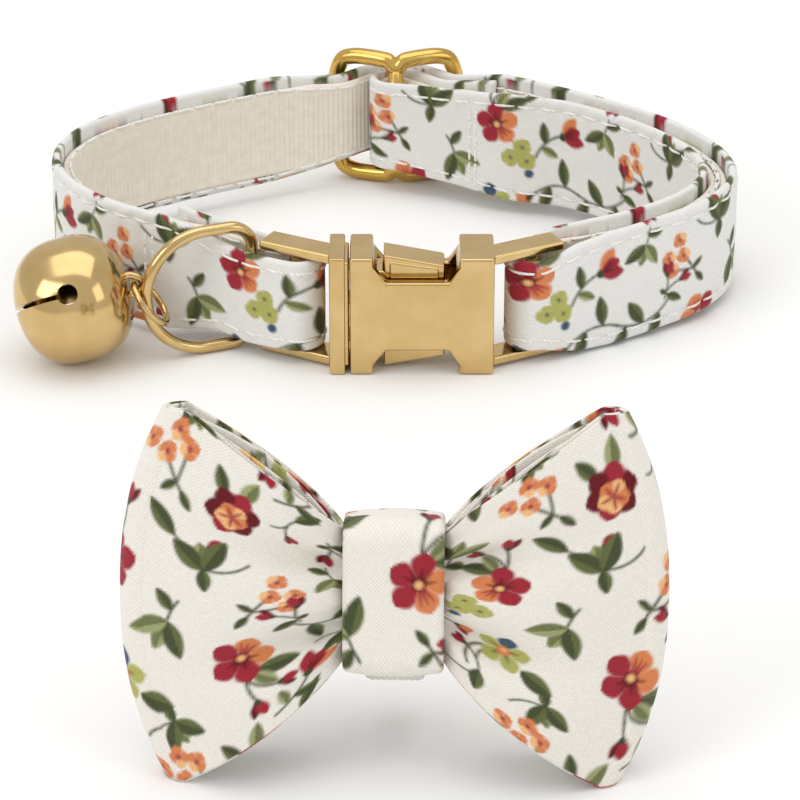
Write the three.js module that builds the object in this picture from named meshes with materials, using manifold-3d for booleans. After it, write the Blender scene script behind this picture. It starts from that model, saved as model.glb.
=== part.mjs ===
// Pet collar with a detachable bow tie, standing on a table. Millimetres, +Z up, +Y from bow to collar.
// The collar is laid out with the middle of its buckle on the Y = 0 plane; at the end the whole set is
// moved so that its origin is the bottom centre of its box.
import * as THREE from 'three';
import { mergeVertices } from 'three/addons/utils/BufferGeometryUtils.js';
import Module from 'manifold-3d';

const wasm = await Module();
wasm.setup();

// Strap: a cotton strip with webbing sewn to its inner face
const COVER_WALL = 1.0;
const WEBBING_WALL = 1.0;
const WEBBING_WIDTH = 12.0;
const WEBBING_MARGIN = 0.9;
const PLY_GAP = 0.2;
const STRAP_THICKNESS = COVER_WALL + PLY_GAP + WEBBING_WALL;
const LAYER_GAP = 0.3;
const LAYER_PITCH = STRAP_THICKNESS + LAYER_GAP;
const EDGE_ROUND = 0.3;
const STRAP_FULL = 7.6;
const STRAP_BY_BUCKLE = 7.2;
const STRAP_IN_RING = 6.3;
const STRAP_IN_SLIDER = 6.3;
const STRAP_IN_BUCKLE = 5.95;

// Buckle: body height is along Z, its thickness along Y
const BUCKLE_HEIGHT = 15.4;
const BUCKLE_DEPTH = 8.0;
const BUCKLE_MIDDLE = BUCKLE_HEIGHT / 2;
const BUCKLE_BEVEL = 0.35;
const TAIL_BEND = THREE.MathUtils.degToRad(28);
const TAIL_INNER = 6.15;
const TAIL_OUTER = 7.35;
const TAIL_DEPTH = 3.6;
const TAIL_BAR_RADIUS = 0.95;
const TAIL_ROOT = 0.8;
const BAR_GAP = 0.25;
const PLUG_BAR = new THREE.Vector2(-12.6, 2.1);
const SOCKET_BAR = new THREE.Vector2(16.2, 2.2);

// Slider: a wire frame with two lobes and a centre bar set in towards the neck
const SLIDER_WIRE = 1.1;
const SLIDER_HALF_WIDTH = 8.2;
const SLIDER_HALF_HEIGHT = 9.55;
const SLIDER_DIP = 1.2;
const SLIDER_MIDDLE = new THREE.Vector2(-0.6, 59.4);
const SLIDER_INSET = 3.0;
const WIRE_SIDES = 8;

// D-ring, jump ring and bell
const Y_AXIS = new THREE.Vector3(0, 1, 0);
const FLOOR_GAP = 0.05;
const RING_WIRE = 0.75;
const RING_HALF_HEIGHT = 8.5;
const RING_DEPTH = 15.33;
const RING_BAR = new THREE.Vector2(-18.2, 4.75);
const RING_REST = THREE.MathUtils.degToRad(202.3);
const JUMP_WIRE = 0.4;
const JUMP_RADIUS = 3.1;
const JUMP_PLACE = 7.75;
const JUMP_TILT = THREE.MathUtils.degToRad(52);
const BELL_RADIUS = 7.8;
const BELL_LIFT = 0.12;
const BELL_HALF_LENGTH = 7.0;
const BELL_WALL = 0.9;
const BELL_CENTRE = new THREE.Vector3(-39.95, 0.8, BELL_RADIUS + BELL_LIFT + FLOOR_GAP);
const BELL_TILT = THREE.MathUtils.degToRad(15.8);
const BELL_SLIT = 0.6;
const BELL_HOLE_RADIUS = 1.25;
const BELL_HOLE_ANGLE = THREE.MathUtils.degToRad(98);
const BELL_SLIT_TURN = THREE.MathUtils.degToRad(62);
const STAPLE_WIRE = 0.45;
const STAPLE_RADIUS = 1.2;
const PELLET_RADIUS = 2.2;

// Bow: wings are one cloth band, looped and pinched; its own frame has X right, Z up, front at -Y
const BOW_WALL = 1.2;
const BOW_REACH = 26.9;
const BOW_TIP_PULL = 4.2;
const BOW_TIP_BEND = 2.3;
const BOW_TIP_HEIGHT = 18.2;
const BOW_WAIST_HEIGHT = 6.2;
const BOW_FLARE = 0.85;
const BOW_FOLD_RADIUS = 1.9;
const BOW_WAIST_DEPTH = 1.5;
const BOW_WAIST_TAPER = 0.45;
const BOW_PUFF = 3.4;
const BOW_PUFF_SKEW = 0.8;
const BOW_BACK_SHARE = 0.75;
const PLEAT_DEPTH = 2.2;
const PLEAT_PLACE = 0.42;
const PLEAT_WIDTH = 0.17;
const PLEAT_PEAK = 0.2;
// Shares of the loop's length that a panel takes, and of a panel that lies under the knot
const PANEL_SHARE = 0.44;
const KNOT_SHARE = 0.2;
const KNOT_WIDTH = 9.9;
const KNOT_WALL = 1.2;
const KNOT_CORNER = 1.5;
const ELASTIC_WALL = 1.0;
const ELASTIC_WIDTH = 6.0;
const ELASTIC_CORNER = 2.5;
const ELASTIC_GAP_DEPTH = 5.6;
const ELASTIC_GAP_HALF_HEIGHT = 7.4;
const ELASTIC_DROP = 2.3;
const SEAT_GAP = 0.3;
const BOW_LEAN = THREE.MathUtils.degToRad(15);
const BOW_YAW = THREE.MathUtils.degToRad(-1.5);
const BOW_PLACE = new THREE.Vector2(-0.6, -89.1);

const paleGold = { color: 0xd9bd82, roughness: 0.18, metalness: 1.0 };
const brass = { color: 0xd8ab45, roughness: 0.16, metalness: 1.0 };
const cotton = { color: 0xefece6, roughness: 0.9, metalness: 0.0 };
const beige = { color: 0xe9e2d2, roughness: 0.95, metalness: 0.0 };
const elastic = { color: 0xf2f0ea, roughness: 0.9, metalness: 0.0 };

// Geometry helpers

function signedVolume(position, index) {
  const a = new THREE.Vector3();
  const b = new THREE.Vector3();
  const c = new THREE.Vector3();
  let total = 0;
  for (let corner = 0; corner < index.length; corner += 3) {
    a.fromArray(position, 3 * index[corner]);
    b.fromArray(position, 3 * index[corner + 1]);
    c.fromArray(position, 3 * index[corner + 2]);
    total += a.dot(b.cross(c)) / 6;
  }
  return total;
}

// A solid through rings of points that all have the same count; an open run is capped at both ends.
function loft(rings, closed) {
  const count = rings[0].length;
  const position = rings.flat().flatMap((point) => point.toArray());
  const index = [];
  const spans = closed ? rings.length : rings.length - 1;
  for (let ring = 0; ring < spans; ring += 1) {
    const here = ring * count;
    const next = ((ring + 1) % rings.length) * count;
    for (let side = 0; side < count; side += 1) {
      const other = (side + 1) % count;
      index.push(here + side, here + other, next + other);
      index.push(here + side, next + other, next + side);
    }
  }
  if (!closed) {
    const last = (rings.length - 1) * count;
    for (let side = 1; side < count - 1; side += 1) {
      index.push(0, side + 1, side);
      index.push(last, last + side, last + side + 1);
    }
  }
  if (signedVolume(position, index) < 0) {
    index.reverse();
  }
  const geometry = new THREE.BufferGeometry();
  geometry.setAttribute('position', new THREE.Float32BufferAttribute(position, 3));
  geometry.setIndex(index);
  return geometry;
}

// Round wire along a curve
function wire(curve, steps, radius, sides, closed) {
  const frames = curve.computeFrenetFrames(steps, closed);
  const rings = [];
  const ringCount = closed ? steps : steps + 1;
  for (let step = 0; step < ringCount; step += 1) {
    const centre = curve.getPointAt(step / steps);
    const ring = [];
    for (let side = 0; side < sides; side += 1) {
      const angle = (2 * Math.PI * side) / sides;
      const point = centre.clone();
      point.addScaledVector(frames.normals[step], radius * Math.cos(angle));
      point.addScaledVector(frames.binormals[step], radius * Math.sin(angle));
      ring.push(point);
    }
    rings.push(ring);
  }
  return loft(rings, closed);
}

function toSolid(geometry) {
  const bare = new THREE.BufferGeometry();
  bare.setAttribute('position', geometry.getAttribute('position').clone());
  if (geometry.index) {
    bare.setIndex(geometry.index.clone());
  }
  const merged = mergeVertices(bare, 1e-4);
  const vertProperties = new Float32Array(merged.getAttribute('position').array);
  const triVerts = new Uint32Array(merged.index.array);
  return new wasm.Manifold(new wasm.Mesh({ numProp: 3, vertProperties, triVerts }));
}

function toGeometry(solid) {
  const mesh = solid.getMesh();
  const geometry = new THREE.BufferGeometry();
  geometry.setAttribute('position', new THREE.Float32BufferAttribute(mesh.vertProperties, 3));
  geometry.setIndex(Array.from(mesh.triVerts));
  return geometry;
}

function join(...geometries) {
  const solids = geometries.map(toSolid);
  return toGeometry(solids.reduce((sum, solid) => sum.add(solid)));
}

function cut(geometry, ...tools) {
  const body = toSolid(geometry);
  return toGeometry(tools.map(toSolid).reduce((rest, tool) => rest.subtract(tool), body));
}

function box(x0, x1, y0, y1, z0, z1) {
  const geometry = new THREE.BoxGeometry(x1 - x0, y1 - y0, z1 - z0);
  return geometry.translate((x0 + x1) / 2, (y0 + y1) / 2, (z0 + z1) / 2);
}

// A plate drawn in the XZ plane, with its thickness along Y and bevelled edges
function plate(outline, depth, bevel) {
  const shape = new THREE.Shape(outline.map(([x, z]) => new THREE.Vector2(x, z)));
  const geometry = new THREE.ExtrudeGeometry(shape, {
    depth: depth - 2 * bevel,
    bevelEnabled: bevel > 0,
    bevelThickness: bevel,
    bevelSize: bevel,
    bevelOffset: -bevel,
    bevelSegments: 2,
  });
  geometry.translate(0, 0, bevel - depth / 2);
  return geometry.rotateX(Math.PI / 2);
}

function named(name, geometry, look) {
  geometry.computeVertexNormals();
  const mesh = new THREE.Mesh(geometry, new THREE.MeshStandardMaterial(look));
  mesh.name = name;
  return mesh;
}

// Strap route in plan. The cotton side is always on the left of the way the route runs.

const FOLD_RADIUS = TAIL_BAR_RADIUS + BAR_GAP + STRAP_THICKNESS / 2;
const SLIDER_FOLD_RADIUS = SLIDER_WIRE + BAR_GAP + STRAP_THICKNESS / 2;
const SLIDER_BAR = new THREE.Vector2(SLIDER_MIDDLE.x, SLIDER_MIDDLE.y - SLIDER_INSET);

// Columns: x, y, half width of the cotton, height of the strap's centre line
const OUTER_ROUTE = [
  [-18.7, 2.65, STRAP_IN_RING, 7.75],
  [-22.2, 4.4, STRAP_IN_RING, 8.5],
  [-28.4, 7.4, STRAP_FULL, 8.9],
  [-36.4, 13.2, STRAP_FULL, 8.9],
  [-41.8, 20.6, STRAP_FULL, 8.9],
  [-43.4, 28.0, STRAP_FULL, 9.0],
  [-41.0, 35.4, STRAP_FULL, 9.1],
  [-35.0, 41.7, STRAP_FULL, 9.2],
  [-27.0, 46.9, STRAP_FULL, 9.3],
  [-17.2, 52.0, STRAP_FULL, 9.5],
  [-8.2, 56.3, STRAP_IN_SLIDER, SLIDER_HALF_HEIGHT],
  [-4.1, 59.9, STRAP_IN_SLIDER, SLIDER_HALF_HEIGHT],
  [-0.6, 61.35, STRAP_IN_SLIDER, SLIDER_HALF_HEIGHT],
  [2.9, 59.9, STRAP_IN_SLIDER, SLIDER_HALF_HEIGHT],
  [7.0, 56.3, STRAP_IN_SLIDER, SLIDER_HALF_HEIGHT],
  [14.0, 52.9, STRAP_FULL, 9.5],
  [20.8, 49.1, STRAP_FULL, 9.3],
  [27.4, 44.5, STRAP_FULL, 9.2],
  [33.6, 39.2, STRAP_FULL, 9.1],
  [38.6, 32.8, STRAP_FULL, 9.0],
  [41.3, 26.2, STRAP_FULL, 8.9],
  [41.2, 19.6, STRAP_FULL, 8.8],
  [37.4, 13.3, STRAP_FULL, 8.5],
  [31.0, 8.2, STRAP_FULL, 8.2],
  [25.4, 4.7, STRAP_FULL, 7.9],
  [21.3, 2.3, STRAP_BY_BUCKLE, 7.75],
];
// The fold-backs run inside the outer layer. Columns: place along OUTER_ROUTE in rows, distance from it
const FRONT_FOLD_BACK = [
  [2.05, LAYER_PITCH],
  [1.6, LAYER_PITCH + 0.3],
  [1.0, LAYER_PITCH + 1.4],
  [0.45, LAYER_PITCH + 1.8],
  [0.0, 2 * FOLD_RADIUS],
];
const RIGHT_FOLD_BACK = [
  [25.0, 2 * FOLD_RADIUS],
  [24.0, LAYER_PITCH + 0.9],
  [23.0, LAYER_PITCH],
  [22.0, LAYER_PITCH],
  [21.0, LAYER_PITCH],
  [20.0, LAYER_PITCH],
  [19.0, LAYER_PITCH],
  [18.0, LAYER_PITCH],
  [17.0, LAYER_PITCH],
  [16.4, LAYER_PITCH + 0.3],
  [15.4, 2 * LAYER_PITCH],
  [14.4, 2 * LAYER_PITCH],
];
const SEWN_END = [
  [13.0, LAYER_PITCH - 0.05],
  [14.0, LAYER_PITCH],
  [14.95, LAYER_PITCH],
];

function routeCurve(rows) {
  const points = rows.map(([x, y, , height]) => new THREE.Vector3(x, y, height));
  return new THREE.CatmullRomCurve3(points, false, 'centripetal');
}

// Rows of a fold round an upright bar, from one angle to another
function foldRows(bar, radius, from, to, halfWidth, height) {
  const steps = 6;
  const rows = [];
  for (let step = 0; step <= steps; step += 1) {
    const angle = THREE.MathUtils.lerp(from, to, step / steps);
    rows.push([bar.x + radius * Math.cos(angle), bar.y + radius * Math.sin(angle), halfWidth, height]);
  }
  return rows;
}

// Rows that follow another route at a distance on its right-hand side, the neck side
function besideRows(rows, places) {
  const curve = routeCurve(rows);
  const last = rows.length - 1;
  return places.map(([place, distance]) => {
    const point = curve.getPoint(place / last);
    const along = curve.getTangent(place / last);
    const side = new THREE.Vector2(along.y, -along.x).normalize();
    const row = Math.min(Math.floor(place), last - 1);
    const halfWidth = THREE.MathUtils.lerp(rows[row][2], rows[row + 1][2], place - row);
    return [point.x + distance * side.x, point.y + distance * side.y, halfWidth, point.z];
  });
}

function strapRows() {
  const right = Math.PI / 2;
  const plugTurn = [right - TAIL_BEND, -right - TAIL_BEND];
  const socketTurn = [-right + TAIL_BEND, -3 * right + TAIL_BEND];
  const sliderTurn = [-right, -3 * right];
  return [
    ...besideRows(OUTER_ROUTE, FRONT_FOLD_BACK),
    ...foldRows(PLUG_BAR, FOLD_RADIUS, ...plugTurn, STRAP_IN_BUCKLE, BUCKLE_MIDDLE),
    ...OUTER_ROUTE,
    ...foldRows(SOCKET_BAR, FOLD_RADIUS, ...socketTurn, STRAP_IN_BUCKLE, BUCKLE_MIDDLE),
    ...besideRows(OUTER_ROUTE, RIGHT_FOLD_BACK),
    ...foldRows(SLIDER_BAR, SLIDER_FOLD_RADIUS, ...sliderTurn, STRAP_IN_SLIDER, SLIDER_HALF_HEIGHT),
    ...besideRows(OUTER_ROUTE, SEWN_END),
  ];
}

// Stations along the strap, close together where it turns and further apart where it runs straight
function strapStations(rows) {
  const stepsPerRow = 8;
  const widestTurn = THREE.MathUtils.degToRad(14);
  const widestStep = 4.5;
  const curve = routeCurve(rows);
  const last = rows.length - 1;
  const stations = [];
  for (let step = 0; step <= last * stepsPerRow; step += 1) {
    const place = step / stepsPerRow;
    const row = Math.min(Math.floor(place), last - 1);
    const along = curve.getTangent(place / last).setZ(0).normalize();
    const station = {
      centre: curve.getPoint(place / last),
      left: new THREE.Vector3(-along.y, along.x, 0),
      halfWidth: THREE.MathUtils.lerp(rows[row][2], rows[row + 1][2], place - row),
    };
    const before = stations.at(-1);
    const isEnd = step === last * stepsPerRow;
    const turned = before && before.left.angleTo(station.left) > widestTurn;
    const moved = before && before.centre.distanceTo(station.centre) > widestStep;
    if (!before || isEnd || turned || moved) {
      stations.push(station);
    }
  }
  return stations;
}

// A flat strip along the strap between two distances to the left of its centre line
function strip(stations, near, far, widthAt) {
  const middle = (near + far) / 2;
  const rings = stations.map((station) => {
    const half = widthAt(station);
    const corners = [
      [near, EDGE_ROUND - half],
      [middle, -half],
      [far, EDGE_ROUND - half],
      [far, half - EDGE_ROUND],
      [middle, half],
      [near, half - EDGE_ROUND],
    ];
    return corners.map(([side, rise]) => {
      const point = station.centre.clone().addScaledVector(station.left, side);
      point.z += rise;
      return point;
    });
  });
  return loft(rings, false);
}

function strapMeshes() {
  const stations = strapStations(strapRows());
  const outside = STRAP_THICKNESS / 2;
  const cover = strip(stations, outside - COVER_WALL, outside, (station) => station.halfWidth);
  const webbingWidth = (station) => Math.min(WEBBING_WIDTH / 2, station.halfWidth - WEBBING_MARGIN);
  const webbing = strip(stations, -outside, WEBBING_WALL - outside, webbingWidth);
  return [named('strap_cover', cover, cotton), named('strap_webbing', webbing, beige)];
}

// Buckle

// A tail frame: two arms bent back towards the neck, with an upright bar between them
function tailFrame(bar, rootX, endX) {
  const turn = Math.sign(endX - rootX) * TAIL_BEND;
  const toward = new THREE.Vector2(Math.cos(turn), Math.sin(turn));
  const near = (rootX - bar.x) / toward.x;
  const far = (endX - bar.x) / toward.x;
  const start = Math.min(near, far);
  const end = Math.max(near, far);
  const halfDepth = TAIL_DEPTH / 2;
  const arms = [1, -1].map((side) => {
    const low = Math.min(side * TAIL_INNER, side * TAIL_OUTER);
    const high = Math.max(side * TAIL_INNER, side * TAIL_OUTER);
    const arm = box(start, end, -halfDepth, halfDepth, low, high);
    return arm.rotateZ(turn).translate(bar.x, bar.y, BUCKLE_MIDDLE);
  });
  const overlap = 0.4;
  const barLength = 2 * (TAIL_INNER + overlap);
  const barSides = 12;
  const post = new THREE.CylinderGeometry(TAIL_BAR_RADIUS, TAIL_BAR_RADIUS, barLength, barSides);
  post.rotateX(Math.PI / 2).translate(bar.x, bar.y, BUCKLE_MIDDLE);
  return [...arms, post];
}

function mirroredInHeight(outline) {
  const mirrored = outline.map(([x, z]) => [x, BUCKLE_HEIGHT - z]);
  return [...outline, ...mirrored.reverse()];
}

function buckleSocket() {
  const left = -6.1;
  const end = 11.4;
  const tailEnd = 19.3;
  const notchTop = { left: -3.3, right: 7.2 };
  const notchFoot = { left: -1.7, right: 5.9, depth: 3.2 };
  const shoulder = 1.2;
  const top = BUCKLE_HEIGHT;
  const outline = mirroredInHeight([
    [left, top],
    [notchTop.left, top],
    [notchTop.left, top - shoulder],
    [notchFoot.left, top - notchFoot.depth],
    [notchFoot.right, top - notchFoot.depth],
    [notchTop.right, top - shoulder],
    [notchTop.right, top],
    [end, top],
  ]);
  const wall = 1.5;
  const halfCavity = BUCKLE_DEPTH / 2 - wall;
  const cavityRoof = 2.0;
  const cavityEnd = 8.6;
  const body = plate(outline, BUCKLE_DEPTH, BUCKLE_BEVEL);
  const cavity = box(left - 1, cavityEnd, -halfCavity, halfCavity, cavityRoof, top - cavityRoof);
  return join(cut(body, cavity), ...tailFrame(SOCKET_BAR, end - TAIL_ROOT, tailEnd));
}

function bucklePlug() {
  const left = -8.6;
  const face = -6.7;
  const tailEnd = -16.4;
  const halfDepth = 2.1;
  const armTop = 13.0;
  const armFoot = 11.6;
  const head = { left: -2.0, right: 5.4, high: 15.1, low: 13.7 };
  const tongue = { end: 4.5, half: 1.0 };
  const reach = 0.4;
  const baseOutline = [
    [left, 0],
    [face, 0],
    [face, BUCKLE_HEIGHT],
    [left, BUCKLE_HEIGHT],
  ];
  const base = plate(baseOutline, BUCKLE_DEPTH, BUCKLE_BEVEL);
  const upper = [
    [face - reach, armFoot],
    [head.right, armFoot],
    [head.right, head.low],
    [head.left, head.high],
    [head.left, armTop],
    [face - reach, armTop],
  ];
  const lower = upper.map(([x, z]) => [x, BUCKLE_HEIGHT - z]).reverse();
  const prongs = [upper, lower].map((outline) => plate(outline.reverse(), 2 * halfDepth, 0));
  const foot = BUCKLE_MIDDLE - tongue.half;
  const guide = box(face - reach, tongue.end, -halfDepth, halfDepth, foot, foot + 2 * tongue.half);
  return join(base, ...prongs, guide, ...tailFrame(PLUG_BAR, left + TAIL_ROOT, tailEnd));
}

// Slider

function slider() {
  const steps = 16;
  const wireSteps = 60;
  const squareness = 2.7;
  const shoulder = 4.8;
  const reach = SLIDER_HALF_WIDTH;
  const top = SLIDER_HALF_HEIGHT - SLIDER_WIRE;
  const topEdge = [];
  for (let step = 0; step <= steps; step += 1) {
    const across = -1 + (2 * step) / steps;
    const inLobe = Math.abs(2 * Math.abs(across) - 1);
    const lobe = Math.pow(1 - Math.pow(inLobe, squareness), 1 / squareness);
    const foot = Math.abs(across) < 0.5 ? top - SLIDER_DIP : shoulder;
    const inset = SLIDER_INSET * (1 - Math.abs(across));
    topEdge.push(new THREE.Vector3(reach * across, -inset, THREE.MathUtils.lerp(foot, top, lobe)));
  }
  const bottomEdge = topEdge.map((point) => new THREE.Vector3(point.x, point.y, -point.z)).reverse();
  const frame = new THREE.CatmullRomCurve3([...topEdge, ...bottomEdge], true, 'centripetal');
  const bar = new THREE.LineCurve3(
    new THREE.Vector3(0, -SLIDER_INSET, SLIDER_DIP - top),
    new THREE.Vector3(0, -SLIDER_INSET, top - SLIDER_DIP),
  );
  const geometry = join(
    wire(frame, wireSteps, SLIDER_WIRE, WIRE_SIDES, true),
    wire(bar, 1, SLIDER_WIRE, WIRE_SIDES, false),
  );
  return geometry.translate(SLIDER_MIDDLE.x, SLIDER_MIDDLE.y, SLIDER_HALF_HEIGHT);
}

// Drop: D-ring, jump ring and bell

// The ring is drawn in its own XZ plane with its straight bar on the Z axis, then turned about that bar
function dRing() {
  const mid = RING_HALF_HEIGHT - RING_WIRE;
  const corner = 3.0;
  const outlineSteps = 64;
  const wireSteps = 52;
  const run = RING_DEPTH - 2 * RING_WIRE - mid;
  const outline = new THREE.Path();
  outline.moveTo(0, -mid + corner);
  outline.lineTo(0, mid - corner);
  outline.absarc(corner, mid - corner, corner, Math.PI, Math.PI / 2, true);
  outline.lineTo(run, mid);
  outline.absarc(run, 0, mid, Math.PI / 2, -Math.PI / 2, true);
  outline.lineTo(corner, -mid);
  outline.absarc(corner, corner - mid, corner, -Math.PI / 2, -Math.PI, true);
  const points = outline.getSpacedPoints(outlineSteps).slice(0, -1);
  const curve = new THREE.CatmullRomCurve3(points.map(({ x, y }) => new THREE.Vector3(x, 0, y)), true);
  const geometry = wire(curve, wireSteps, RING_WIRE, WIRE_SIDES, true);
  return geometry.rotateZ(RING_REST).translate(RING_BAR.x, RING_BAR.y, RING_HALF_HEIGHT + FLOOR_GAP);
}

// The jump ring hangs down from the bell's staple at a slant
function jumpRing() {
  const sides = 6;
  const steps = 24;
  const geometry = new THREE.TorusGeometry(JUMP_RADIUS, JUMP_WIRE, sides, steps);
  geometry.translate(JUMP_RADIUS, 0, 0).rotateY(JUMP_TILT);
  const staple = new THREE.Vector3(JUMP_PLACE, 0, 0).applyAxisAngle(Y_AXIS, -BELL_TILT).add(BELL_CENTRE);
  return geometry.translate(staple.x, staple.y, staple.z);
}

// A barrel-like ball of revolution about Y, given by its radius and half length
function bellBall(radius, halfLength) {
  const squareness = 0.8;
  const steps = 16;
  const turns = 30;
  const profile = [];
  for (let step = 0; step <= steps; step += 1) {
    const angle = -Math.PI / 2 + (Math.PI * step) / steps;
    const out = Math.pow(Math.cos(angle), squareness);
    const along = Math.sign(angle) * Math.pow(Math.abs(Math.sin(angle)), squareness);
    const isPole = step === 0 || step === steps;
    profile.push(new THREE.Vector2(isPole ? 0 : radius * out, halfLength * along));
  }
  return new THREE.LatheGeometry(profile, turns);
}

// The bell is built about +Y: the slit crosses its lower pole, the staple stands on its upper pole
function bellShell() {
  const long = 2 * BELL_RADIUS;
  const shell = cut(
    bellBall(BELL_RADIUS, BELL_HALF_LENGTH),
    bellBall(BELL_RADIUS - BELL_WALL, BELL_HALF_LENGTH - BELL_WALL),
  );
  const slitTop = -BELL_HALF_LENGTH * Math.cos(BELL_HOLE_ANGLE);
  const slit = box(-long, long, -long, slitTop, -BELL_SLIT / 2, BELL_SLIT / 2);
  const holeSides = 14;
  const holes = new THREE.CylinderGeometry(BELL_HOLE_RADIUS, BELL_HOLE_RADIUS, 2 * long, holeSides);
  holes.rotateZ(Math.PI / 2).translate(0, slitTop, 0);
  const legs = 1.1;
  const stapleSteps = 12;
  const foot = BELL_HALF_LENGTH - BELL_WALL / 2;
  const arch = new THREE.CatmullRomCurve3([
    new THREE.Vector3(-STAPLE_RADIUS, foot, 0),
    new THREE.Vector3(-STAPLE_RADIUS, foot + legs, 0),
    new THREE.Vector3(0, foot + legs + STAPLE_RADIUS, 0),
    new THREE.Vector3(STAPLE_RADIUS, foot + legs, 0),
    new THREE.Vector3(STAPLE_RADIUS, foot, 0),
  ]);
  const staple = wire(arch, stapleSteps, STAPLE_WIRE, WIRE_SIDES, false);
  const geometry = join(cut(shell, slit, holes).rotateY(BELL_SLIT_TURN), staple);
  geometry.rotateX(Math.PI / 2).rotateY(Math.PI / 2 - BELL_TILT);
  return geometry.translate(BELL_CENTRE.x, BELL_CENTRE.y, BELL_CENTRE.z);
}

function bellPellet() {
  const rest = BELL_WALL + SEAT_GAP + PELLET_RADIUS;
  const turns = 14;
  const rows = 10;
  const geometry = new THREE.SphereGeometry(PELLET_RADIUS, turns, rows);
  return geometry.translate(BELL_CENTRE.x, BELL_CENTRE.y, BELL_CENTRE.z - BELL_RADIUS + rest);
}

// Bow

function pleat(place, across) {
  return Math.exp(-(((across - place) / PLEAT_WIDTH) ** 2));
}

// Depth of a wing's middle surface: flat under the knot, puffed beyond it, flattened to its outer fold.
// away is 0 at the knot and 1 at the fold.
function wingDepth(away, across, share) {
  const puff = share * BOW_PUFF * Math.sin(Math.PI * Math.pow(away, BOW_PUFF_SKEW));
  const fade = (away / PLEAT_PEAK) * Math.exp(1 - away / PLEAT_PEAK) * (1 - away ** 4);
  const folds = pleat(PLEAT_PLACE, across) + pleat(-PLEAT_PLACE, across);
  const waist = BOW_WAIST_DEPTH * (1 - BOW_WAIST_TAPER * across ** 4);
  const base = THREE.MathUtils.lerp(waist, BOW_FOLD_RADIUS, away);
  return base + puff - share * PLEAT_DEPTH * fade * folds;
}

// A point of the middle surface: turn runs round the loop in [0, 1), across from -1 at the foot to 1
function bowPoint(turn, across) {
  const knotHalf = KNOT_WIDTH / 2 + SEAT_GAP;
  const tipPull = BOW_TIP_PULL * Math.pow(Math.abs(across), BOW_TIP_BEND);
  const span = BOW_REACH - BOW_WALL / 2 - BOW_FOLD_RADIUS - tipPull;
  const half = turn < 0.5 ? turn : turn - 0.5;
  const facing = turn < 0.5 ? -1 : 1;
  const share = facing < 0 ? 1 : BOW_BACK_SHARE;
  const panel = Math.min(half / PANEL_SHARE, 1);
  const reach = Math.abs(2 * panel - 1);
  const side = -facing * Math.sign(2 * panel - 1);
  const away = Math.max(0, (reach - KNOT_SHARE) / (1 - KNOT_SHARE));
  const underKnot = (knotHalf * Math.min(reach, KNOT_SHARE)) / KNOT_SHARE;
  let x = side * (away > 0 ? THREE.MathUtils.lerp(knotHalf, span, away) : underKnot);
  let y = facing * wingDepth(away, across, share);
  if (half > PANEL_SHARE) {
    const angle = (Math.PI * (half - PANEL_SHARE)) / (0.5 - PANEL_SHARE);
    x = side * (span + BOW_FOLD_RADIUS * Math.sin(angle));
    y = facing * BOW_FOLD_RADIUS * Math.cos(angle);
  }
  const height = THREE.MathUtils.lerp(BOW_WAIST_HEIGHT, BOW_TIP_HEIGHT, Math.pow(away, BOW_FLARE));
  const footing = (away * y * Math.tan(BOW_LEAN) * (1 - across)) / 2;
  return new THREE.Vector3(x, y, across * height + footing);
}

// A closed cloth band: its middle surface is given by pointAt(turn, across) and gets an even wall
function clothLoop(pointAt, turns, acrossList, wall) {
  const rings = turns.map((turn) => {
    const outer = [];
    const inner = [];
    for (const across of acrossList) {
      const nudge = 1e-3;
      const before = pointAt((turn - nudge + 1) % 1, across);
      const after = pointAt((turn + nudge) % 1, across);
      const along = after.sub(before);
      const normal = loopNormal(along);
      const point = pointAt(turn, across);
      outer.push(point.clone().addScaledVector(normal, wall / 2));
      inner.push(point.clone().addScaledVector(normal, -wall / 2));
    }
    return [...outer, ...inner.reverse()];
  });
  return loft(rings, true);
}

function loopNormal(along) {
  return new THREE.Vector3(along.y, -along.x, 0).normalize();
}

function evenly(from, to, steps) {
  return Array.from({ length: steps + 1 }, (_, step) => THREE.MathUtils.lerp(from, to, step / steps));
}

function bowBody() {
  const panelSteps = 30;
  const foldSteps = 5;
  const acrossSteps = 11;
  const panel = evenly(0, PANEL_SHARE, panelSteps);
  const fold = evenly(PANEL_SHARE, 0.5, foldSteps).slice(1, -1);
  const half = [...panel, ...fold];
  const turns = [...half, ...half.map((turn) => turn + 0.5)];
  return clothLoop(bowPoint, turns, evenly(-1, 1, acrossSteps), BOW_WALL);
}

// A band that loops in the YZ plane, as a rounded box of given half depth and half height
function uprightBand(halfDepth, halfHeight, wall, width, corner) {
  const cornerSteps = 5;
  const outline = (grow) => {
    const points = [];
    const radius = corner + grow;
    for (const [sideY, sideZ, from] of [[1, 1, 0], [-1, 1, 0.5], [-1, -1, 1], [1, -1, 1.5]]) {
      for (const step of evenly(0, 1, cornerSteps)) {
        const angle = Math.PI * (from + step / 2);
        const y = sideY * (halfDepth - corner) + radius * Math.cos(angle);
        const z = sideZ * (halfHeight - corner) + radius * Math.sin(angle);
        points.push([y, z]);
      }
    }
    return points;
  };
  const outer = outline(wall / 2);
  const inner = outline(-wall / 2);
  const rings = outer.map(([y, z], place) => {
    const [innerY, innerZ] = inner[place];
    return [
      new THREE.Vector3(-width / 2, y, z),
      new THREE.Vector3(width / 2, y, z),
      new THREE.Vector3(width / 2, innerY, innerZ),
      new THREE.Vector3(-width / 2, innerY, innerZ),
    ];
  });
  return loft(rings, true);
}

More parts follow.
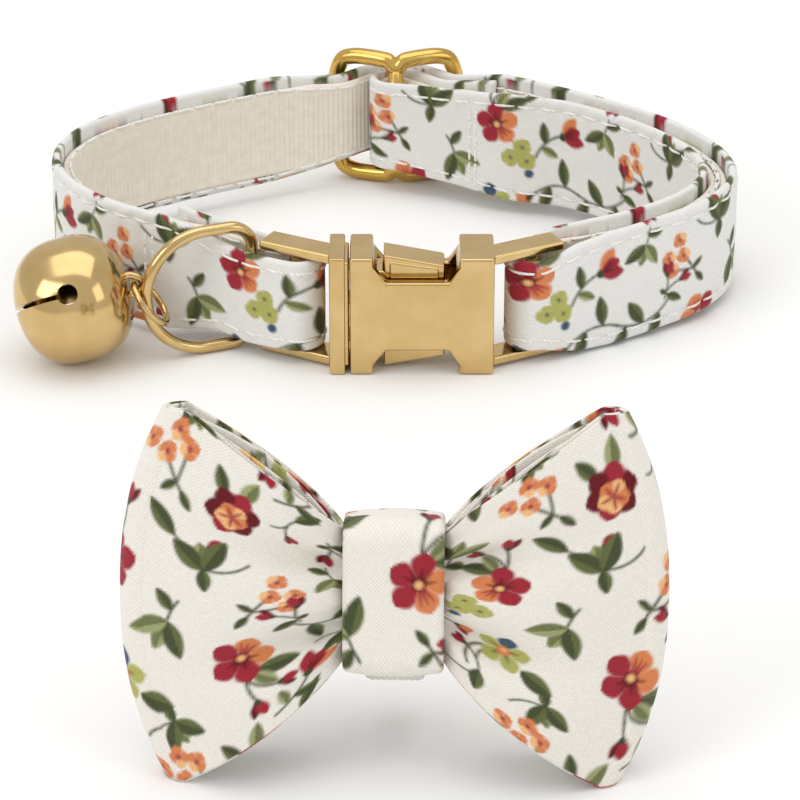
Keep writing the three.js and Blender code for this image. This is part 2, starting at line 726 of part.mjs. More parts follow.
function bowGroup() {
  const knotHalfDepth = BOW_WAIST_DEPTH + BOW_WALL / 2 + SEAT_GAP + KNOT_WALL / 2;
  const knotHalfHeight = BOW_WAIST_HEIGHT + SEAT_GAP + KNOT_WALL / 2;
  const elasticHalfDepth = (ELASTIC_GAP_DEPTH + ELASTIC_WALL) / 2;
  const elasticHalfHeight = ELASTIC_GAP_HALF_HEIGHT + ELASTIC_WALL / 2;
  const knotBack = knotHalfDepth + KNOT_WALL / 2;
  const elasticPlace = knotBack + SEAT_GAP + ELASTIC_WALL / 2 + elasticHalfDepth;
  const knot = uprightBand(knotHalfDepth, knotHalfHeight, KNOT_WALL, KNOT_WIDTH, KNOT_CORNER);
  const elasticSize = [elasticHalfDepth, elasticHalfHeight];
  const band = uprightBand(...elasticSize, ELASTIC_WALL, ELASTIC_WIDTH, ELASTIC_CORNER);
  const bow = new THREE.Group();
  bow.add(named('bow_body', bowBody(), cotton));
  bow.add(named('bow_knot', knot, cotton));
  bow.add(named('bow_elastic', band.translate(0, elasticPlace, -ELASTIC_DROP), elastic));
  bow.rotation.set(-BOW_LEAN, 0, BOW_YAW, 'ZXY');
  const foot = new THREE.Box3().setFromObject(bow, true).min.z;
  bow.position.set(BOW_PLACE.x, BOW_PLACE.y, -foot);
  return bow;
}

// Whole set

const set = new THREE.Group();
set.add(...strapMeshes());
set.add(named('buckle_socket', buckleSocket(), paleGold));
set.add(named('buckle_plug', bucklePlug(), paleGold));
set.add(named('slider', slider(), brass));
set.add(named('d_ring', dRing(), paleGold));
set.add(named('jump_ring', jumpRing(), paleGold));
set.add(named('bell_shell', bellShell(), paleGold));
set.add(named('bell_pellet', bellPellet(), paleGold));
set.add(bowGroup());

const bounds = new THREE.Box3().setFromObject(set, true);
const middle = bounds.getCenter(new THREE.Vector3());
set.position.set(-middle.x, -middle.y, -bounds.min.z);

export default set;
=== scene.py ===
# Looks of a pet collar with its detachable bow tie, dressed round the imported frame.
# Shapes are worked out in millimetres, in the collar's own layout with the buckle's middle on Y = 0;
# SHIFT moves that layout into the frame, and meshes are made in metres.
import math

import bmesh
import bpy
import numpy as np
from mathutils import Matrix, Vector


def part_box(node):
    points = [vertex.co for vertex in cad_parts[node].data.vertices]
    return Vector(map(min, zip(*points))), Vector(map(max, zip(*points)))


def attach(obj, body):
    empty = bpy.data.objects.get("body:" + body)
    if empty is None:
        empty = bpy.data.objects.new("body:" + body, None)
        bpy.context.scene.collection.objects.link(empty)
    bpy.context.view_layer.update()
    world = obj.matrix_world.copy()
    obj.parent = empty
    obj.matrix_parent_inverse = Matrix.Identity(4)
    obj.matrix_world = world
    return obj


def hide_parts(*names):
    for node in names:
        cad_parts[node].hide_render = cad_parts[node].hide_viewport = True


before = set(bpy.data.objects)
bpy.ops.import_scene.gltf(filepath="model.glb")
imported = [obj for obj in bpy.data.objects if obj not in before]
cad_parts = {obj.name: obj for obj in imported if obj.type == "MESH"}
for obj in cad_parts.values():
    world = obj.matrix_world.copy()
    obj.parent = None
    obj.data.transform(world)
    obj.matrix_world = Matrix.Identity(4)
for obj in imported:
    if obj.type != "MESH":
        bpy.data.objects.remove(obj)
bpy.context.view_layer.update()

MM = 0.001

# Strap, a little narrower at the D-ring than its solid, so that the round wire swings clear of it
COVER_WALL = 1.0
WEBBING_WALL = 1.0
PLY_GAP = 0.2
STRAP_HALF_THICKNESS = (COVER_WALL + PLY_GAP + WEBBING_WALL) / 2
LAYER_GAP = 0.3
LAYER_PITCH = 2 * STRAP_HALF_THICKNESS + LAYER_GAP
STRAP_FULL = 7.6
STRAP_BY_BUCKLE = 7.2
STRAP_IN_RING = 6.1
STRAP_IN_SLIDER = 6.3
STRAP_IN_BUCKLE = 5.95
WEBBING_HALF_WIDTH = 6.0
WEBBING_MARGIN = 0.9
STITCH_INSET = 1.45
STITCH_PITCH = 3.1
STITCH_SHARE = 0.82
STITCH_RISE = 0.13
STITCH_DIP = 0.08
STITCH_STEPS = 7
FIRST_STITCH = 1.0
CROSS_PITCH = 1.9
CROSS_LENGTH = 1.5
CROSS_END = 1.4
THREAD_RADIUS = 0.18
THREAD_SIDES = 6
THREAD_AXIS = (0.31, 0.17, 0.94)
COVER_STEP = 0.25
COVER_COLUMNS = 57
COVER_EDGE_STEPS = 5
COVER_BACK_STEPS = 5
COVER_CROWN = 0.24
COVER_LEAST_ROOM = 0.15
GROOVE_DEPTH = 0.24
GROOVE_WIDTH = 0.3
GROOVE_MEAN = 0.6
GROOVE_SWING = 0.4
PUCKER_HEIGHT = 0.07
PUCKER_REACH = 3.4
SLACK_HEIGHT = 0.07
# Waves of the slack, multiplied: angle for each millimetre along the strap and up it, and start
SLACK_WAVES = ((0.61, 0.5, 0.0), (0.23, -0.7, 1.3))
RIB_PITCH = 0.72
RIB_HEIGHT = 0.09
RIB_FLOOR = -0.6
STEPS_PER_RIB = 6
WEBBING_STEPS = 4
WEBBING_COLUMNS = 9
OUTER_COLUMN = 0.97
SELVEDGE = 0.9
SELVEDGE_LEVEL = 0.25

# Buckle
BUCKLE_HEIGHT = 15.4
BUCKLE_MIDDLE = BUCKLE_HEIGHT / 2
BUCKLE_HALF_DEPTH = 4.0
SOCKET_LEFT = -6.1
SOCKET_END = 11.4
SOCKET_TAIL_END = 19.3
PLUG_LEFT = -8.6
PLUG_FACE = -6.7
PLUG_TAIL_END = -16.4
TAIL_BEND = math.radians(28)
TAIL_INNER = 6.15
TAIL_OUTER = 7.35
TAIL_HALF_DEPTH = 1.8
TAIL_ROOT = 0.8
TAIL_BAR_RADIUS = 0.95
TAIL_BAR_SEAT = 0.4
BAR_GAP = 0.25
PLUG_BAR = (-12.6, 2.1)
SOCKET_BAR = (16.2, 2.2)
FOLD_RADIUS = TAIL_BAR_RADIUS + BAR_GAP + STRAP_HALF_THICKNESS
METAL_EDGE = 0.32
PLUG_EDGE = 0.8 * METAL_EDGE
BEVEL_ANGLE = math.radians(35)

# Slider
SLIDER_WIRE = 1.1
SLIDER_HALF_WIDTH = 8.2
SLIDER_HALF_HEIGHT = 9.55
SLIDER_DIP = 1.2
SLIDER_SQUARENESS = 2.7
SLIDER_SHOULDER = 4.8
SLIDER_STEPS = 16
SLIDER_SAMPLES = 300
SLIDER_MIDDLE = (-0.6, 59.4)
SLIDER_INSET = 3.0
SLIDER_BAR = (SLIDER_MIDDLE[0], SLIDER_MIDDLE[1] - SLIDER_INSET)
SLIDER_FOLD_RADIUS = SLIDER_WIRE + BAR_GAP + STRAP_HALF_THICKNESS

# D-ring, jump ring and bell
FLOOR_GAP = 0.05
RING_WIRE = 0.75
RING_HALF_HEIGHT = 8.5
RING_DEPTH = 15.33
RING_CORNER = 3.0
RING_BAR = (-18.2, 4.75)
RING_REST = math.radians(202.3)
JUMP_WIRE = 0.4
JUMP_RADIUS = 3.1
JUMP_PLACE = 7.75
JUMP_TILT = math.radians(52)
JUMP_SAMPLES = 97
BELL_RADIUS = 7.8
BELL_LIFT = 0.12
BELL_HALF_LENGTH = 7.0
BELL_WALL = 0.9
BELL_SQUARENESS = 0.8
BELL_CENTRE = np.array([-39.95, 0.8, BELL_RADIUS + BELL_LIFT + FLOOR_GAP])
BELL_TILT = math.radians(15.8)
BELL_EDGE = 0.14
BELL_SLIT = 0.6
BELL_HOLE_RADIUS = 1.25
BELL_HOLE_ANGLE = math.radians(98)
BELL_SLIT_TURN = math.radians(62)
STAPLE_WIRE = 0.45
STAPLE_RADIUS = 1.2
STAPLE_LEGS = 1.1
STAPLE_SAMPLES = 49

# Bow
BOW_WALL = 1.2
BOW_REACH = 26.9
BOW_TIP_PULL = 4.2
BOW_TIP_BEND = 2.3
BOW_TIP_HEIGHT = 18.2
BOW_WAIST_HEIGHT = 6.2
BOW_FLARE = 0.85
BOW_FOLD_RADIUS = 1.9
BOW_WAIST_DEPTH = 1.5
BOW_WAIST_TAPER = 0.45
BOW_PUFF = 3.4
BOW_PUFF_SKEW = 0.8
BOW_BACK_SHARE = 0.75
PLEAT_DEPTH = 2.2
PLEAT_PLACE = 0.42
PLEAT_WIDTH = 0.17
PLEAT_PEAK = 0.2
PANEL_SHARE = 0.44
KNOT_SHARE = 0.2
KNOT_WIDTH = 9.9
KNOT_WALL = 1.2
KNOT_CORNER = 1.5
KNOT_CROWN = 0.34
KNOT_CREASE = 0.05
# Waves of the knot's creases, multiplied: angle for each millimetre along it, and from middle to edge
KNOT_WAVES = ((0.9, 3.0), (0.3, 5.0))
KNOT_PRINT_PLACE = (3.0, 14.0)
ELASTIC_WALL = 1.0
ELASTIC_WIDTH = 6.0
ELASTIC_CORNER = 2.5
ELASTIC_GAP_DEPTH = 5.6
ELASTIC_GAP_HALF_HEIGHT = 7.4
ELASTIC_DROP = 2.3
ELASTIC_RIB = 0.9
ELASTIC_RELIEF = 0.05
ELASTIC_CORDS = 9
SEAT_GAP = 0.3
KNOT_REACH = KNOT_WIDTH / 2 + SEAT_GAP
BOW_LEAN = math.radians(15)
BOW_YAW = math.radians(-1.5)
BOW_LENGTH = 110.0

SOCKET_LOW = np.array(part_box("buckle_socket")[0]) / MM
SHIFT = SOCKET_LOW - np.array([SOCKET_LEFT, -BUCKLE_HALF_DEPTH, 0.0])


def turn_x(angle):
    return np.array(Matrix.Rotation(angle, 3, "X"))


def turn_y(angle):
    return np.array(Matrix.Rotation(angle, 3, "Y"))


def turn_z(angle):
    return np.array(Matrix.Rotation(angle, 3, "Z"))


# Meshes

def mesh_object(name, points, faces):
    """An object from points in millimetres of the collar's layout, with its faces turned outwards."""
    mesh = bpy.data.meshes.new(name)
    mesh.from_pydata(((np.asarray(points) + SHIFT) * MM).tolist(), [], faces)
    work = bmesh.new()
    work.from_mesh(mesh)
    bmesh.ops.recalc_face_normals(work, faces=work.faces)
    work.to_mesh(mesh)
    work.free()
    mesh.shade_smooth()
    thing = bpy.data.objects.new(name, mesh)
    bpy.context.scene.collection.objects.link(thing)
    return thing


def loft_faces(rows, columns, closed):
    """Faces of a skin through rings of points; an open run is capped at both ends."""
    spans = rows if closed else rows - 1
    here = np.arange(spans)[:, None] * columns
    after = (np.arange(spans)[:, None] + 1) % rows * columns
    side = np.arange(columns)[None, :]
    other = (side + 1) % columns
    corners = [here + side, here + other, after + other, after + side]
    faces = np.stack(corners, axis=-1).reshape(-1, 4).tolist()
    if not closed:
        faces.append(list(range(columns)))
        faces.append(list(range((rows - 1) * columns, rows * columns)))
    return faces


def ring_shell(rings, closed):
    """Points and faces of a skin through rings of points."""
    rows, columns = rings.shape[:2]
    return rings.reshape(-1, 3), loft_faces(rows, columns, closed)


def loft(name, rings, closed):
    return mesh_object(name, *ring_shell(rings, closed))


def flat_places(along, across):
    """Places on the flat cloth, from the two coordinates as arrays of any matching shapes."""
    return np.stack(np.broadcast_arrays(along, across), axis=-1)


def lay_flat(thing, flat):
    """Keeps each point's place on the flat cloth, in millimetres, for the weave."""
    mesh = thing.data
    corners = np.empty(len(mesh.loops), dtype=np.int32)
    mesh.loops.foreach_get("vertex_index", corners)
    layer = mesh.uv_layers.new(name="cloth")
    layer.uv.foreach_set("vector", flat.reshape(-1, 2)[corners].astype(np.float32).ravel())


def keep_print(thing, colour):
    layer = thing.data.color_attributes.new("print", "FLOAT_COLOR", "POINT")
    full = np.ones((len(colour), 4), dtype=np.float32)
    full[:, :3] = colour
    layer.data.foreach_set("color", full.ravel())


def tube_rings(path, radius, axis, sides):
    """Round wire along a path; axis is a direction that the path never runs along."""
    path = np.asarray(path, dtype=float)
    along = np.gradient(path, axis=0)
    closed = np.allclose(path[0], path[-1])
    if closed:
        path = path[:-1]
        along = np.roll(path, -1, axis=0) - np.roll(path, 1, axis=0)
    along /= np.linalg.norm(along, axis=1, keepdims=True)
    axis = np.asarray(axis, dtype=float)
    first = axis - along * (along @ axis)[:, None]
    first /= np.linalg.norm(first, axis=1, keepdims=True)
    second = np.cross(along, first)
    angle = np.linspace(0, 2 * math.pi, sides, endpoint=False)[None, :, None]
    ring = np.cos(angle) * first[:, None] + np.sin(angle) * second[:, None]
    return path[:, None] + radius * ring, closed


def join_shells(name, shells):
    """One object from several (points, faces) shells."""
    points = []
    faces = []
    count = 0
    for shell_points, shell_faces in shells:
        points.append(np.asarray(shell_points, dtype=float))
        faces.extend([[corner + count for corner in face] for face in shell_faces])
        count += len(points[-1])
    return mesh_object(name, np.concatenate(points), faces)


def tube_shell(path, radius, axis, sides):
    return ring_shell(*tube_rings(path, radius, axis, sides))


def take_shell(thing):
    """Points in the collar's layout and faces of an object, which is removed."""
    points = [np.array(corner.co) / MM - SHIFT for corner in thing.data.vertices]
    faces = [list(face.vertices) for face in thing.data.polygons]
    bpy.data.objects.remove(thing)
    return points, faces


def box_outline(left, right, low, high):
    return [(left, low), (right, low), (right, high), (left, high)]


def prism_shell(outline, near, far):
    """A closed prism: an outline of (x, z) run from one y to another."""
    count = len(outline)
    points = [(x, near, z) for x, z in outline] + [(x, far, z) for x, z in outline]
    faces = [list(range(count)), list(range(count, 2 * count))]
    for side in range(count):
        other = (side + 1) % count
        faces.append([side, other, other + count, side + count])
    return points, faces


def bake_modifiers(thing):
    graph = bpy.context.evaluated_depsgraph_get()
    mesh = bpy.data.meshes.new_from_object(thing.evaluated_get(graph))
    thing.modifiers.clear()
    thing.data = mesh


def cut_away(thing, *cutters):
    for cutter in cutters:
        change = thing.modifiers.new("cut", "BOOLEAN")
        change.operation = "DIFFERENCE"
        change.object = cutter
    bake_modifiers(thing)
    for cutter in cutters:
        bpy.data.objects.remove(cutter)


def round_edges(thing, width, segments=3):
    change = thing.modifiers.new("edges", "BEVEL")
    change.width = width * MM
    change.segments = segments
    change.limit_method = "ANGLE"
    change.angle_limit = BEVEL_ANGLE
    change.harden_normals = True
    thing.data.shade_smooth()


def dress(thing, look, body, slot, *nodes):
    """Gives a piece its material and its body and hides the nodes that it stands for; slot is not used."""
    thing.data.materials.clear()
    thing.data.materials.append(look)
    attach(thing, body)
    if nodes:
        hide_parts(*nodes)


# Strap route in plan, as rows of x, y, half width and height of the centre line

CENTRE_COLUMNS = [0, 1, 3]
HALF_WIDTH_COLUMN = 2
OUTER_ROUTE = np.array([
    (-18.7, 2.65, STRAP_IN_RING, 7.75),
    (-22.2, 4.4, STRAP_IN_RING, 8.5),
    (-28.4, 7.4, STRAP_FULL, 8.9),
    (-36.4, 13.2, STRAP_FULL, 8.9),
    (-41.8, 20.6, STRAP_FULL, 8.9),
    (-43.4, 28.0, STRAP_FULL, 9.0),
    (-41.0, 35.4, STRAP_FULL, 9.1),
    (-35.0, 41.7, STRAP_FULL, 9.2),
    (-27.0, 46.9, STRAP_FULL, 9.3),
    (-17.2, 52.0, STRAP_FULL, 9.5),
    (-8.2, 56.3, STRAP_IN_SLIDER, SLIDER_HALF_HEIGHT),
    (-4.1, 59.9, STRAP_IN_SLIDER, SLIDER_HALF_HEIGHT),
    (-0.6, 61.35, STRAP_IN_SLIDER, SLIDER_HALF_HEIGHT),
    (2.9, 59.9, STRAP_IN_SLIDER, SLIDER_HALF_HEIGHT),
    (7.0, 56.3, STRAP_IN_SLIDER, SLIDER_HALF_HEIGHT),
    (14.0, 52.9, STRAP_FULL, 9.5),
    (20.8, 49.1, STRAP_FULL, 9.3),
    (27.4, 44.5, STRAP_FULL, 9.2),
    (33.6, 39.2, STRAP_FULL, 9.1),
    (38.6, 32.8, STRAP_FULL, 9.0),
    (41.3, 26.2, STRAP_FULL, 8.9),
    (41.2, 19.6, STRAP_FULL, 8.8),
    (37.4, 13.3, STRAP_FULL, 8.5),
    (31.0, 8.2, STRAP_FULL, 8.2),
    (25.4, 4.7, STRAP_FULL, 7.9),
    (21.3, 2.3, STRAP_BY_BUCKLE, 7.75),
])
# The fold-backs run inside the outer layer: place along OUTER_ROUTE in rows, distance in from it
FRONT_FOLD_BACK = [
    (2.05, LAYER_PITCH),
    (1.6, LAYER_PITCH + 0.3),
    (1.0, LAYER_PITCH + 1.4),
    (0.45, LAYER_PITCH + 1.8),
    (0.0, 2 * FOLD_RADIUS),
]
RIGHT_FOLD_BACK = [
    (25.0, 2 * FOLD_RADIUS),
    (24.0, LAYER_PITCH + 0.9),
    *((float(place), LAYER_PITCH) for place in range(23, 16, -1)),
    (16.4, LAYER_PITCH + 0.3),
    (15.4, 2 * LAYER_PITCH),
    (14.4, 2 * LAYER_PITCH),
]
SEWN_END = [
    (13.0, LAYER_PITCH - 0.05),
    (14.0, LAYER_PITCH),
    (14.95, LAYER_PITCH),
]


ROWS_IN_FOLD = 7
SAMPLES_PER_ROW = 60
SMALL = 1e-4


def spline(points, places):
    """Points of the centripetal Catmull-Rom curve through points, at places counted in rows."""
    points = np.asarray(points, dtype=float)
    places = np.asarray(places, dtype=float)
    ends = [2 * points[0] - points[1], 2 * points[-1] - points[-2]]
    padded = np.vstack([ends[0], points, ends[1]])
    row = np.clip(np.floor(places).astype(int), 0, len(points) - 2)
    p0, p1, p2, p3 = (padded[row + step] for step in range(4))

    def knot_gap(a, b):
        return np.maximum(np.sqrt(np.linalg.norm(b - a, axis=-1, keepdims=True)), SMALL)

    d0 = knot_gap(p0, p1)
    d1 = knot_gap(p1, p2)
    d2 = knot_gap(p2, p3)
    leave = ((p1 - p0) / d0 - (p2 - p0) / (d0 + d1) + (p2 - p1) / d1) * d1
    arrive = ((p2 - p1) / d1 - (p3 - p1) / (d1 + d2) + (p3 - p2) / d2) * d1
    w = (places - row)[:, None]
    cubic = 2 * p1 - 2 * p2 + leave + arrive
    square = -3 * p1 + 3 * p2 - 2 * leave - arrive
    return p1 + w * (leave + w * (square + w * cubic))


def heading(points, places):
    """Unit direction of the curve in plan."""
    last = len(points) - 1
    nudge = SMALL * last
    ahead = spline(points, np.clip(places + nudge, 0, last))
    behind = spline(points, np.clip(places - nudge, 0, last))
    along = (ahead - behind)[:, :2]
    return along / np.linalg.norm(along, axis=1, keepdims=True)


def beside_rows(places):
    """Rows that follow the outer route at a distance on its right-hand side, the neck side."""
    place, distance = np.array(places).T
    middle = spline(OUTER_ROUTE[:, CENTRE_COLUMNS], place)
    along = heading(OUTER_ROUTE[:, CENTRE_COLUMNS], place)
    half = np.interp(place, np.arange(len(OUTER_ROUTE)), OUTER_ROUTE[:, HALF_WIDTH_COLUMN])
    x = middle[:, 0] + distance * along[:, 1]
    y = middle[:, 1] - distance * along[:, 0]
    return np.column_stack([x, y, half, middle[:, 2]])


def fold_rows(bar, radius, start, end, half, height):
    angle = np.linspace(start, end, ROWS_IN_FOLD)
    x = bar[0] + radius * np.cos(angle)
    y = bar[1] + radius * np.sin(angle)
    return np.column_stack([x, y, np.full(ROWS_IN_FOLD, half), np.full(ROWS_IN_FOLD, height)])


def strap_rows():
    right = math.pi / 2
    plug_turn = (right - TAIL_BEND, -right - TAIL_BEND)
    socket_turn = (-right + TAIL_BEND, -3 * right + TAIL_BEND)
    slider_turn = (-right, -3 * right)
    return np.vstack([
        beside_rows(FRONT_FOLD_BACK),
        fold_rows(PLUG_BAR, FOLD_RADIUS, *plug_turn, STRAP_IN_BUCKLE, BUCKLE_MIDDLE),
        OUTER_ROUTE,
        fold_rows(SOCKET_BAR, FOLD_RADIUS, *socket_turn, STRAP_IN_BUCKLE, BUCKLE_MIDDLE),
        beside_rows(RIGHT_FOLD_BACK),
        fold_rows(SLIDER_BAR, SLIDER_FOLD_RADIUS, *slider_turn, STRAP_IN_SLIDER, SLIDER_HALF_HEIGHT),
        beside_rows(SEWN_END),
    ])


class Strap:
    """The strap's centre line, read by the length along it in millimetres."""

    def __init__(self):
        self.rows = strap_rows()
        fine = np.linspace(0, len(self.rows) - 1, SAMPLES_PER_ROW * len(self.rows))
        points = spline(self.rows[:, CENTRE_COLUMNS], fine)
        steps = np.linalg.norm(np.diff(points, axis=0), axis=1)
        self.places = fine
        self.lengths = np.concatenate([[0], np.cumsum(steps)])
        self.length = self.lengths[-1]

    def stations(self, lengths):
        place = np.interp(lengths, self.lengths, self.places)
        centre = spline(self.rows[:, CENTRE_COLUMNS], place)
        along = heading(self.rows[:, CENTRE_COLUMNS], place)
        left = np.column_stack([-along[:, 1], along[:, 0], np.zeros(len(along))])
        return centre, left

    def half_width(self, lengths):
        place = np.interp(lengths, self.lengths, self.places)
        return np.interp(place, np.arange(len(self.rows)), self.rows[:, HALF_WIDTH_COLUMN])

    def length_at_row(self, row):
        return float(np.interp(row, self.places, self.lengths))

    def points(self, lengths, side, rise):
        """One point or a row of points at each length, to the left of the centre line and above it."""
        centre, left = self.stations(lengths)
        if side.ndim > 1:
            centre = centre[:, None]
            left = left[:, None]
        points = centre + left * side[..., None]
        points[..., 2] += rise
        return points


STRAP = Strap()
FIRST_OUTER_ROW = len(FRONT_FOLD_BACK) + ROWS_IN_FOLD
FIRST_RIGHT_ROW = FIRST_OUTER_ROW + len(OUTER_ROUTE) + ROWS_IN_FOLD
# Seams sewn across the strap: row of its route, gap between the two lines, distance from the edges
CROSS_SEAMS = [
    (FIRST_OUTER_ROW + 2.25, 1.1, 1.2),
    (FIRST_RIGHT_ROW + 10.6, 0.9, 1.2),
]


# Printed flowers. Motifs are drawn in millimetres on the flat cloth and repeat on a tile.

def srgb(red, green, blue):
    """Linear colour from the usual 0 to 255 values."""
    share = np.array([red, green, blue]) / 255
    return np.where(share <= 0.04045, share / 12.92, ((share + 0.055) / 1.055) ** 2.4)


BOW_GROUND = srgb(240, 235, 226)
COLLAR_GROUND = srgb(235, 234, 231)
RED = srgb(160, 40, 54)
WINE = srgb(104, 18, 28)
ORANGE = srgb(218, 132, 82)
PEACH = srgb(243, 188, 128)
YELLOW = srgb(244, 206, 132)
LIME = srgb(178, 178, 98)
BLUE = srgb(62, 84, 114)
LEAF_DARK = srgb(62, 70, 44)
LEAF = srgb(98, 106, 62)
LEAF_PALE = srgb(158, 164, 116)
INK_SOFTNESS = 0.36
STEM_WIDTH = 0.34
STEM_STEPS = 13
PETAL_BLUNTNESS = 0.75
PETAL_SPREAD = 1.9
LEAF_WIDEST = 0.9
LEAF_SHADE = 0.8
MIDRIB_WIDTH = 0.2
MIDRIB_END = 0.85
VEIN_WIDEST = 0.8
TILE = (38.0, 33.0)
MOTIF_REACH = 9.5


class Ink:
    """Paints on points whose places x, y are given in a motif's own axes."""

    def __init__(self, x, y, colour):
        self.x = x
        self.y = y
        self.colour = colour

    def lay(self, cover, colour):
        self.colour += np.clip(cover, 0, 1)[:, None] * (colour - self.colour)

    def petal_shape(self, at, angle, length, width, widest):
        turn = math.radians(angle)
        dx = self.x - at[0]
        dy = self.y - at[1]
        along = (dx * math.cos(turn) + dy * math.sin(turn)) / length
        aside = dy * math.cos(turn) - dx * math.sin(turn)
        inside = np.clip(along, 0, 1)
        half = width / 2 * np.sin(math.pi * inside ** widest) ** PETAL_BLUNTNESS
        cover = (half - np.abs(aside)) / INK_SOFTNESS + 0.5
        return np.where((along > 0) & (along < 1), np.clip(cover, 0, 1), 0), along, aside

    def petal(self, at, angle, length, width, colour, widest=1.5):
        self.lay(self.petal_shape(at, angle, length, width, widest)[0], colour)

    def leaf(self, at, angle, length, width, colour=LEAF, shade=LEAF_DARK):
        cover, along, aside = self.petal_shape(at, angle, length, width, LEAF_WIDEST)
        self.lay(cover, colour)
        self.lay(cover * np.clip(0.5 - aside / INK_SOFTNESS, 0, 1) * LEAF_SHADE, shade)
        midrib = np.clip(1 - np.abs(aside) / MIDRIB_WIDTH, 0, 1)
        self.lay(cover * midrib * (along < MIDRIB_END), shade)

    def dot(self, at, radius, colour):
        distance = np.hypot(self.x - at[0], self.y - at[1])
        self.lay((radius - distance) / INK_SOFTNESS + 0.5, colour)

    def stem(self, start, bend, end, width=STEM_WIDTH):
        """A thin stroke along a quadratic curve."""
        t = np.linspace(0, 1, STEM_STEPS)[:, None]
        a, b, c = (np.array(point) for point in (start, bend, end))
        path = (1 - t) ** 2 * a + 2 * t * (1 - t) * b + t ** 2 * c
        nearest = np.full(len(self.x), np.inf)
        for here, after in zip(path[:-1], path[1:]):
            run = after - here
            share = ((self.x - here[0]) * run[0] + (self.y - here[1]) * run[1]) / (run @ run)
            share = np.clip(share, 0, 1)
            away = np.hypot(self.x - here[0] - share * run[0], self.y - here[1] - share * run[1])
            nearest = np.minimum(nearest, away)
        self.lay((width / 2 - nearest) / INK_SOFTNESS + 0.5, LEAF_DARK)

    def bloom(self, at, size, colours, turn=90, fullness=1.0):
        """Petals round a centre, one for each colour, starting at turn degrees."""
        step = 360 / len(colours)
        width = fullness * PETAL_SPREAD * size / len(colours)
        for place, colour in enumerate(colours):
            self.petal(at, turn + place * step, size / 2, width, colour)

    def veins(self, at, size, angles, colour):
        for angle in angles:
            self.petal(at, angle, size, STEM_WIDTH, colour, VEIN_WIDEST)

    def bud(self, at, angle, size=2.5, colour=RED, second=WINE):
        self.petal(at, angle - 18, size, 0.42 * size, second, 1.3)
        self.petal(at, angle + 14, size, 0.55 * size, colour, 1.3)
        self.petal(at, angle, 0.34 * size, 0.34 * size, LEAF_DARK, 1.0)


def open_flower(ink):
    """Red and orange five-petal flower over a stem with two buds."""
    ink.stem((0, -2), (-0.5, -4), (0.2, -6))
    ink.stem((0, -3), (0.8, -4.6), (2.7, -5.3))
    ink.bud((0.2, -5.8), -98)
    ink.bud((2.5, -5.2), -22, 2.2)
    ink.leaf((0.9, -2.2), -14, 4.4, 1.9)
    ink.leaf((0.6, -2.4), -50, 3.4, 1.4, LEAF_PALE, LEAF)
    ink.bloom((0, 0), 6.4, [ORANGE, RED, RED, RED, ORANGE], 58, 1.05)
    ink.veins((0, 0), 2.3, (40, 58, 76, 112, 130, 148), RED)
    ink.veins((0, 0), 1.7, (200, 230, 275, 310, 345), WINE)
    ink.dot((0, 0), 0.75, WINE)
    ink.dot((0, 0.1), 0.42, PEACH)


def tulip(ink):
    """Red tulip with an orange petal on a bent stem with two leaves."""
    ink.stem((-1.2, -4.6), (0.8, -2.4), (0.1, 0.2))
    ink.leaf((-0.1, -2.6), 18, 3.0, 1.3)
    ink.leaf((-0.3, -3.4), 140, 2.7, 1.2, LEAF_PALE, LEAF)
    ink.petal((0, 0), 62, 3.5, 1.9, ORANGE, 1.2)
    ink.petal((0, 0), 122, 3.5, 1.8, RED, 1.2)
    ink.petal((0, 0), 92, 3.1, 1.9, RED, 1.3)
    ink.veins((0, 0.3), 2.2, (78, 96, 116), WINE)
    ink.petal((0, -0.4), 90, 1.1, 1.2, LEAF_DARK, 1.0)


def orange_cluster(ink):
    """Small four-petal blossoms with short dark stalks."""
    ink.stem((0, 0), (0.6, -1.6), (1.6, -3.6))
    ink.stem((2.3, 0.4), (1.8, -1.2), (1.3, -2.4))
    ink.leaf((1.6, -3.4), -70, 2.2, 1.0)
    ink.leaf((1.2, -2.6), 205, 2.0, 0.9)
    for x, y, turn in ((0, 0, 40), (2.4, 0.6, 10), (1.1, 2.1, 60), (-1.7, 1.7, 25)):
        ink.bloom((x, y), 2.3, [ORANGE, ORANGE, PEACH, ORANGE], turn, 1.15)
        ink.dot((x, y), 0.28, RED)


def yellow_bloom(ink):
    """Yellow blossom with orange strokes, thin tendrils and two dark leaves."""
    ink.stem((-2, 0), (-4.6, 1.2), (-6.6, 0.2))
    ink.stem((-2, 0.2), (-4.4, 2.2), (-6.4, 0.9), 0.28)
    ink.stem((2, -0.2), (4.2, -0.2), (6.2, 0.9))
    ink.leaf((-0.7, 1.4), 122, 3.0, 1.5, LEAF, LEAF_DARK)
    ink.leaf((0.5, 1.5), 74, 3.3, 2.0, LEAF, LEAF_DARK)
    ink.bloom((0, 0), 5.2, [YELLOW, PEACH, YELLOW, YELLOW, PEACH, YELLOW, YELLOW], 30, 1.3)
    ink.veins((0, 0), 1.5, (20, 95, 170, 230, 300), ORANGE)
    ink.dot((0, 0), 0.4, ORANGE)


def green_bloom(ink):
    """Yellow-green blossom with one blue petal, an orange centre and a curled stem."""
    ink.stem((-2, -0.6), (-4.4, -1.8), (-3.4, -4.6))
    ink.leaf((1.8, -1.7), -24, 3.6, 2.1, LEAF, LEAF_DARK)
    ink.bloom((0, 0), 5.4, [BLUE, LIME, LIME, LIME, LIME], 80, 0.95)
    ink.veins((0, 0), 1.6, (80, 152, 224, 296, 8), LEAF)
    ink.dot((0, 0), 0.75, ORANGE)
    ink.dot((0.1, 0.1), 0.3, PEACH)


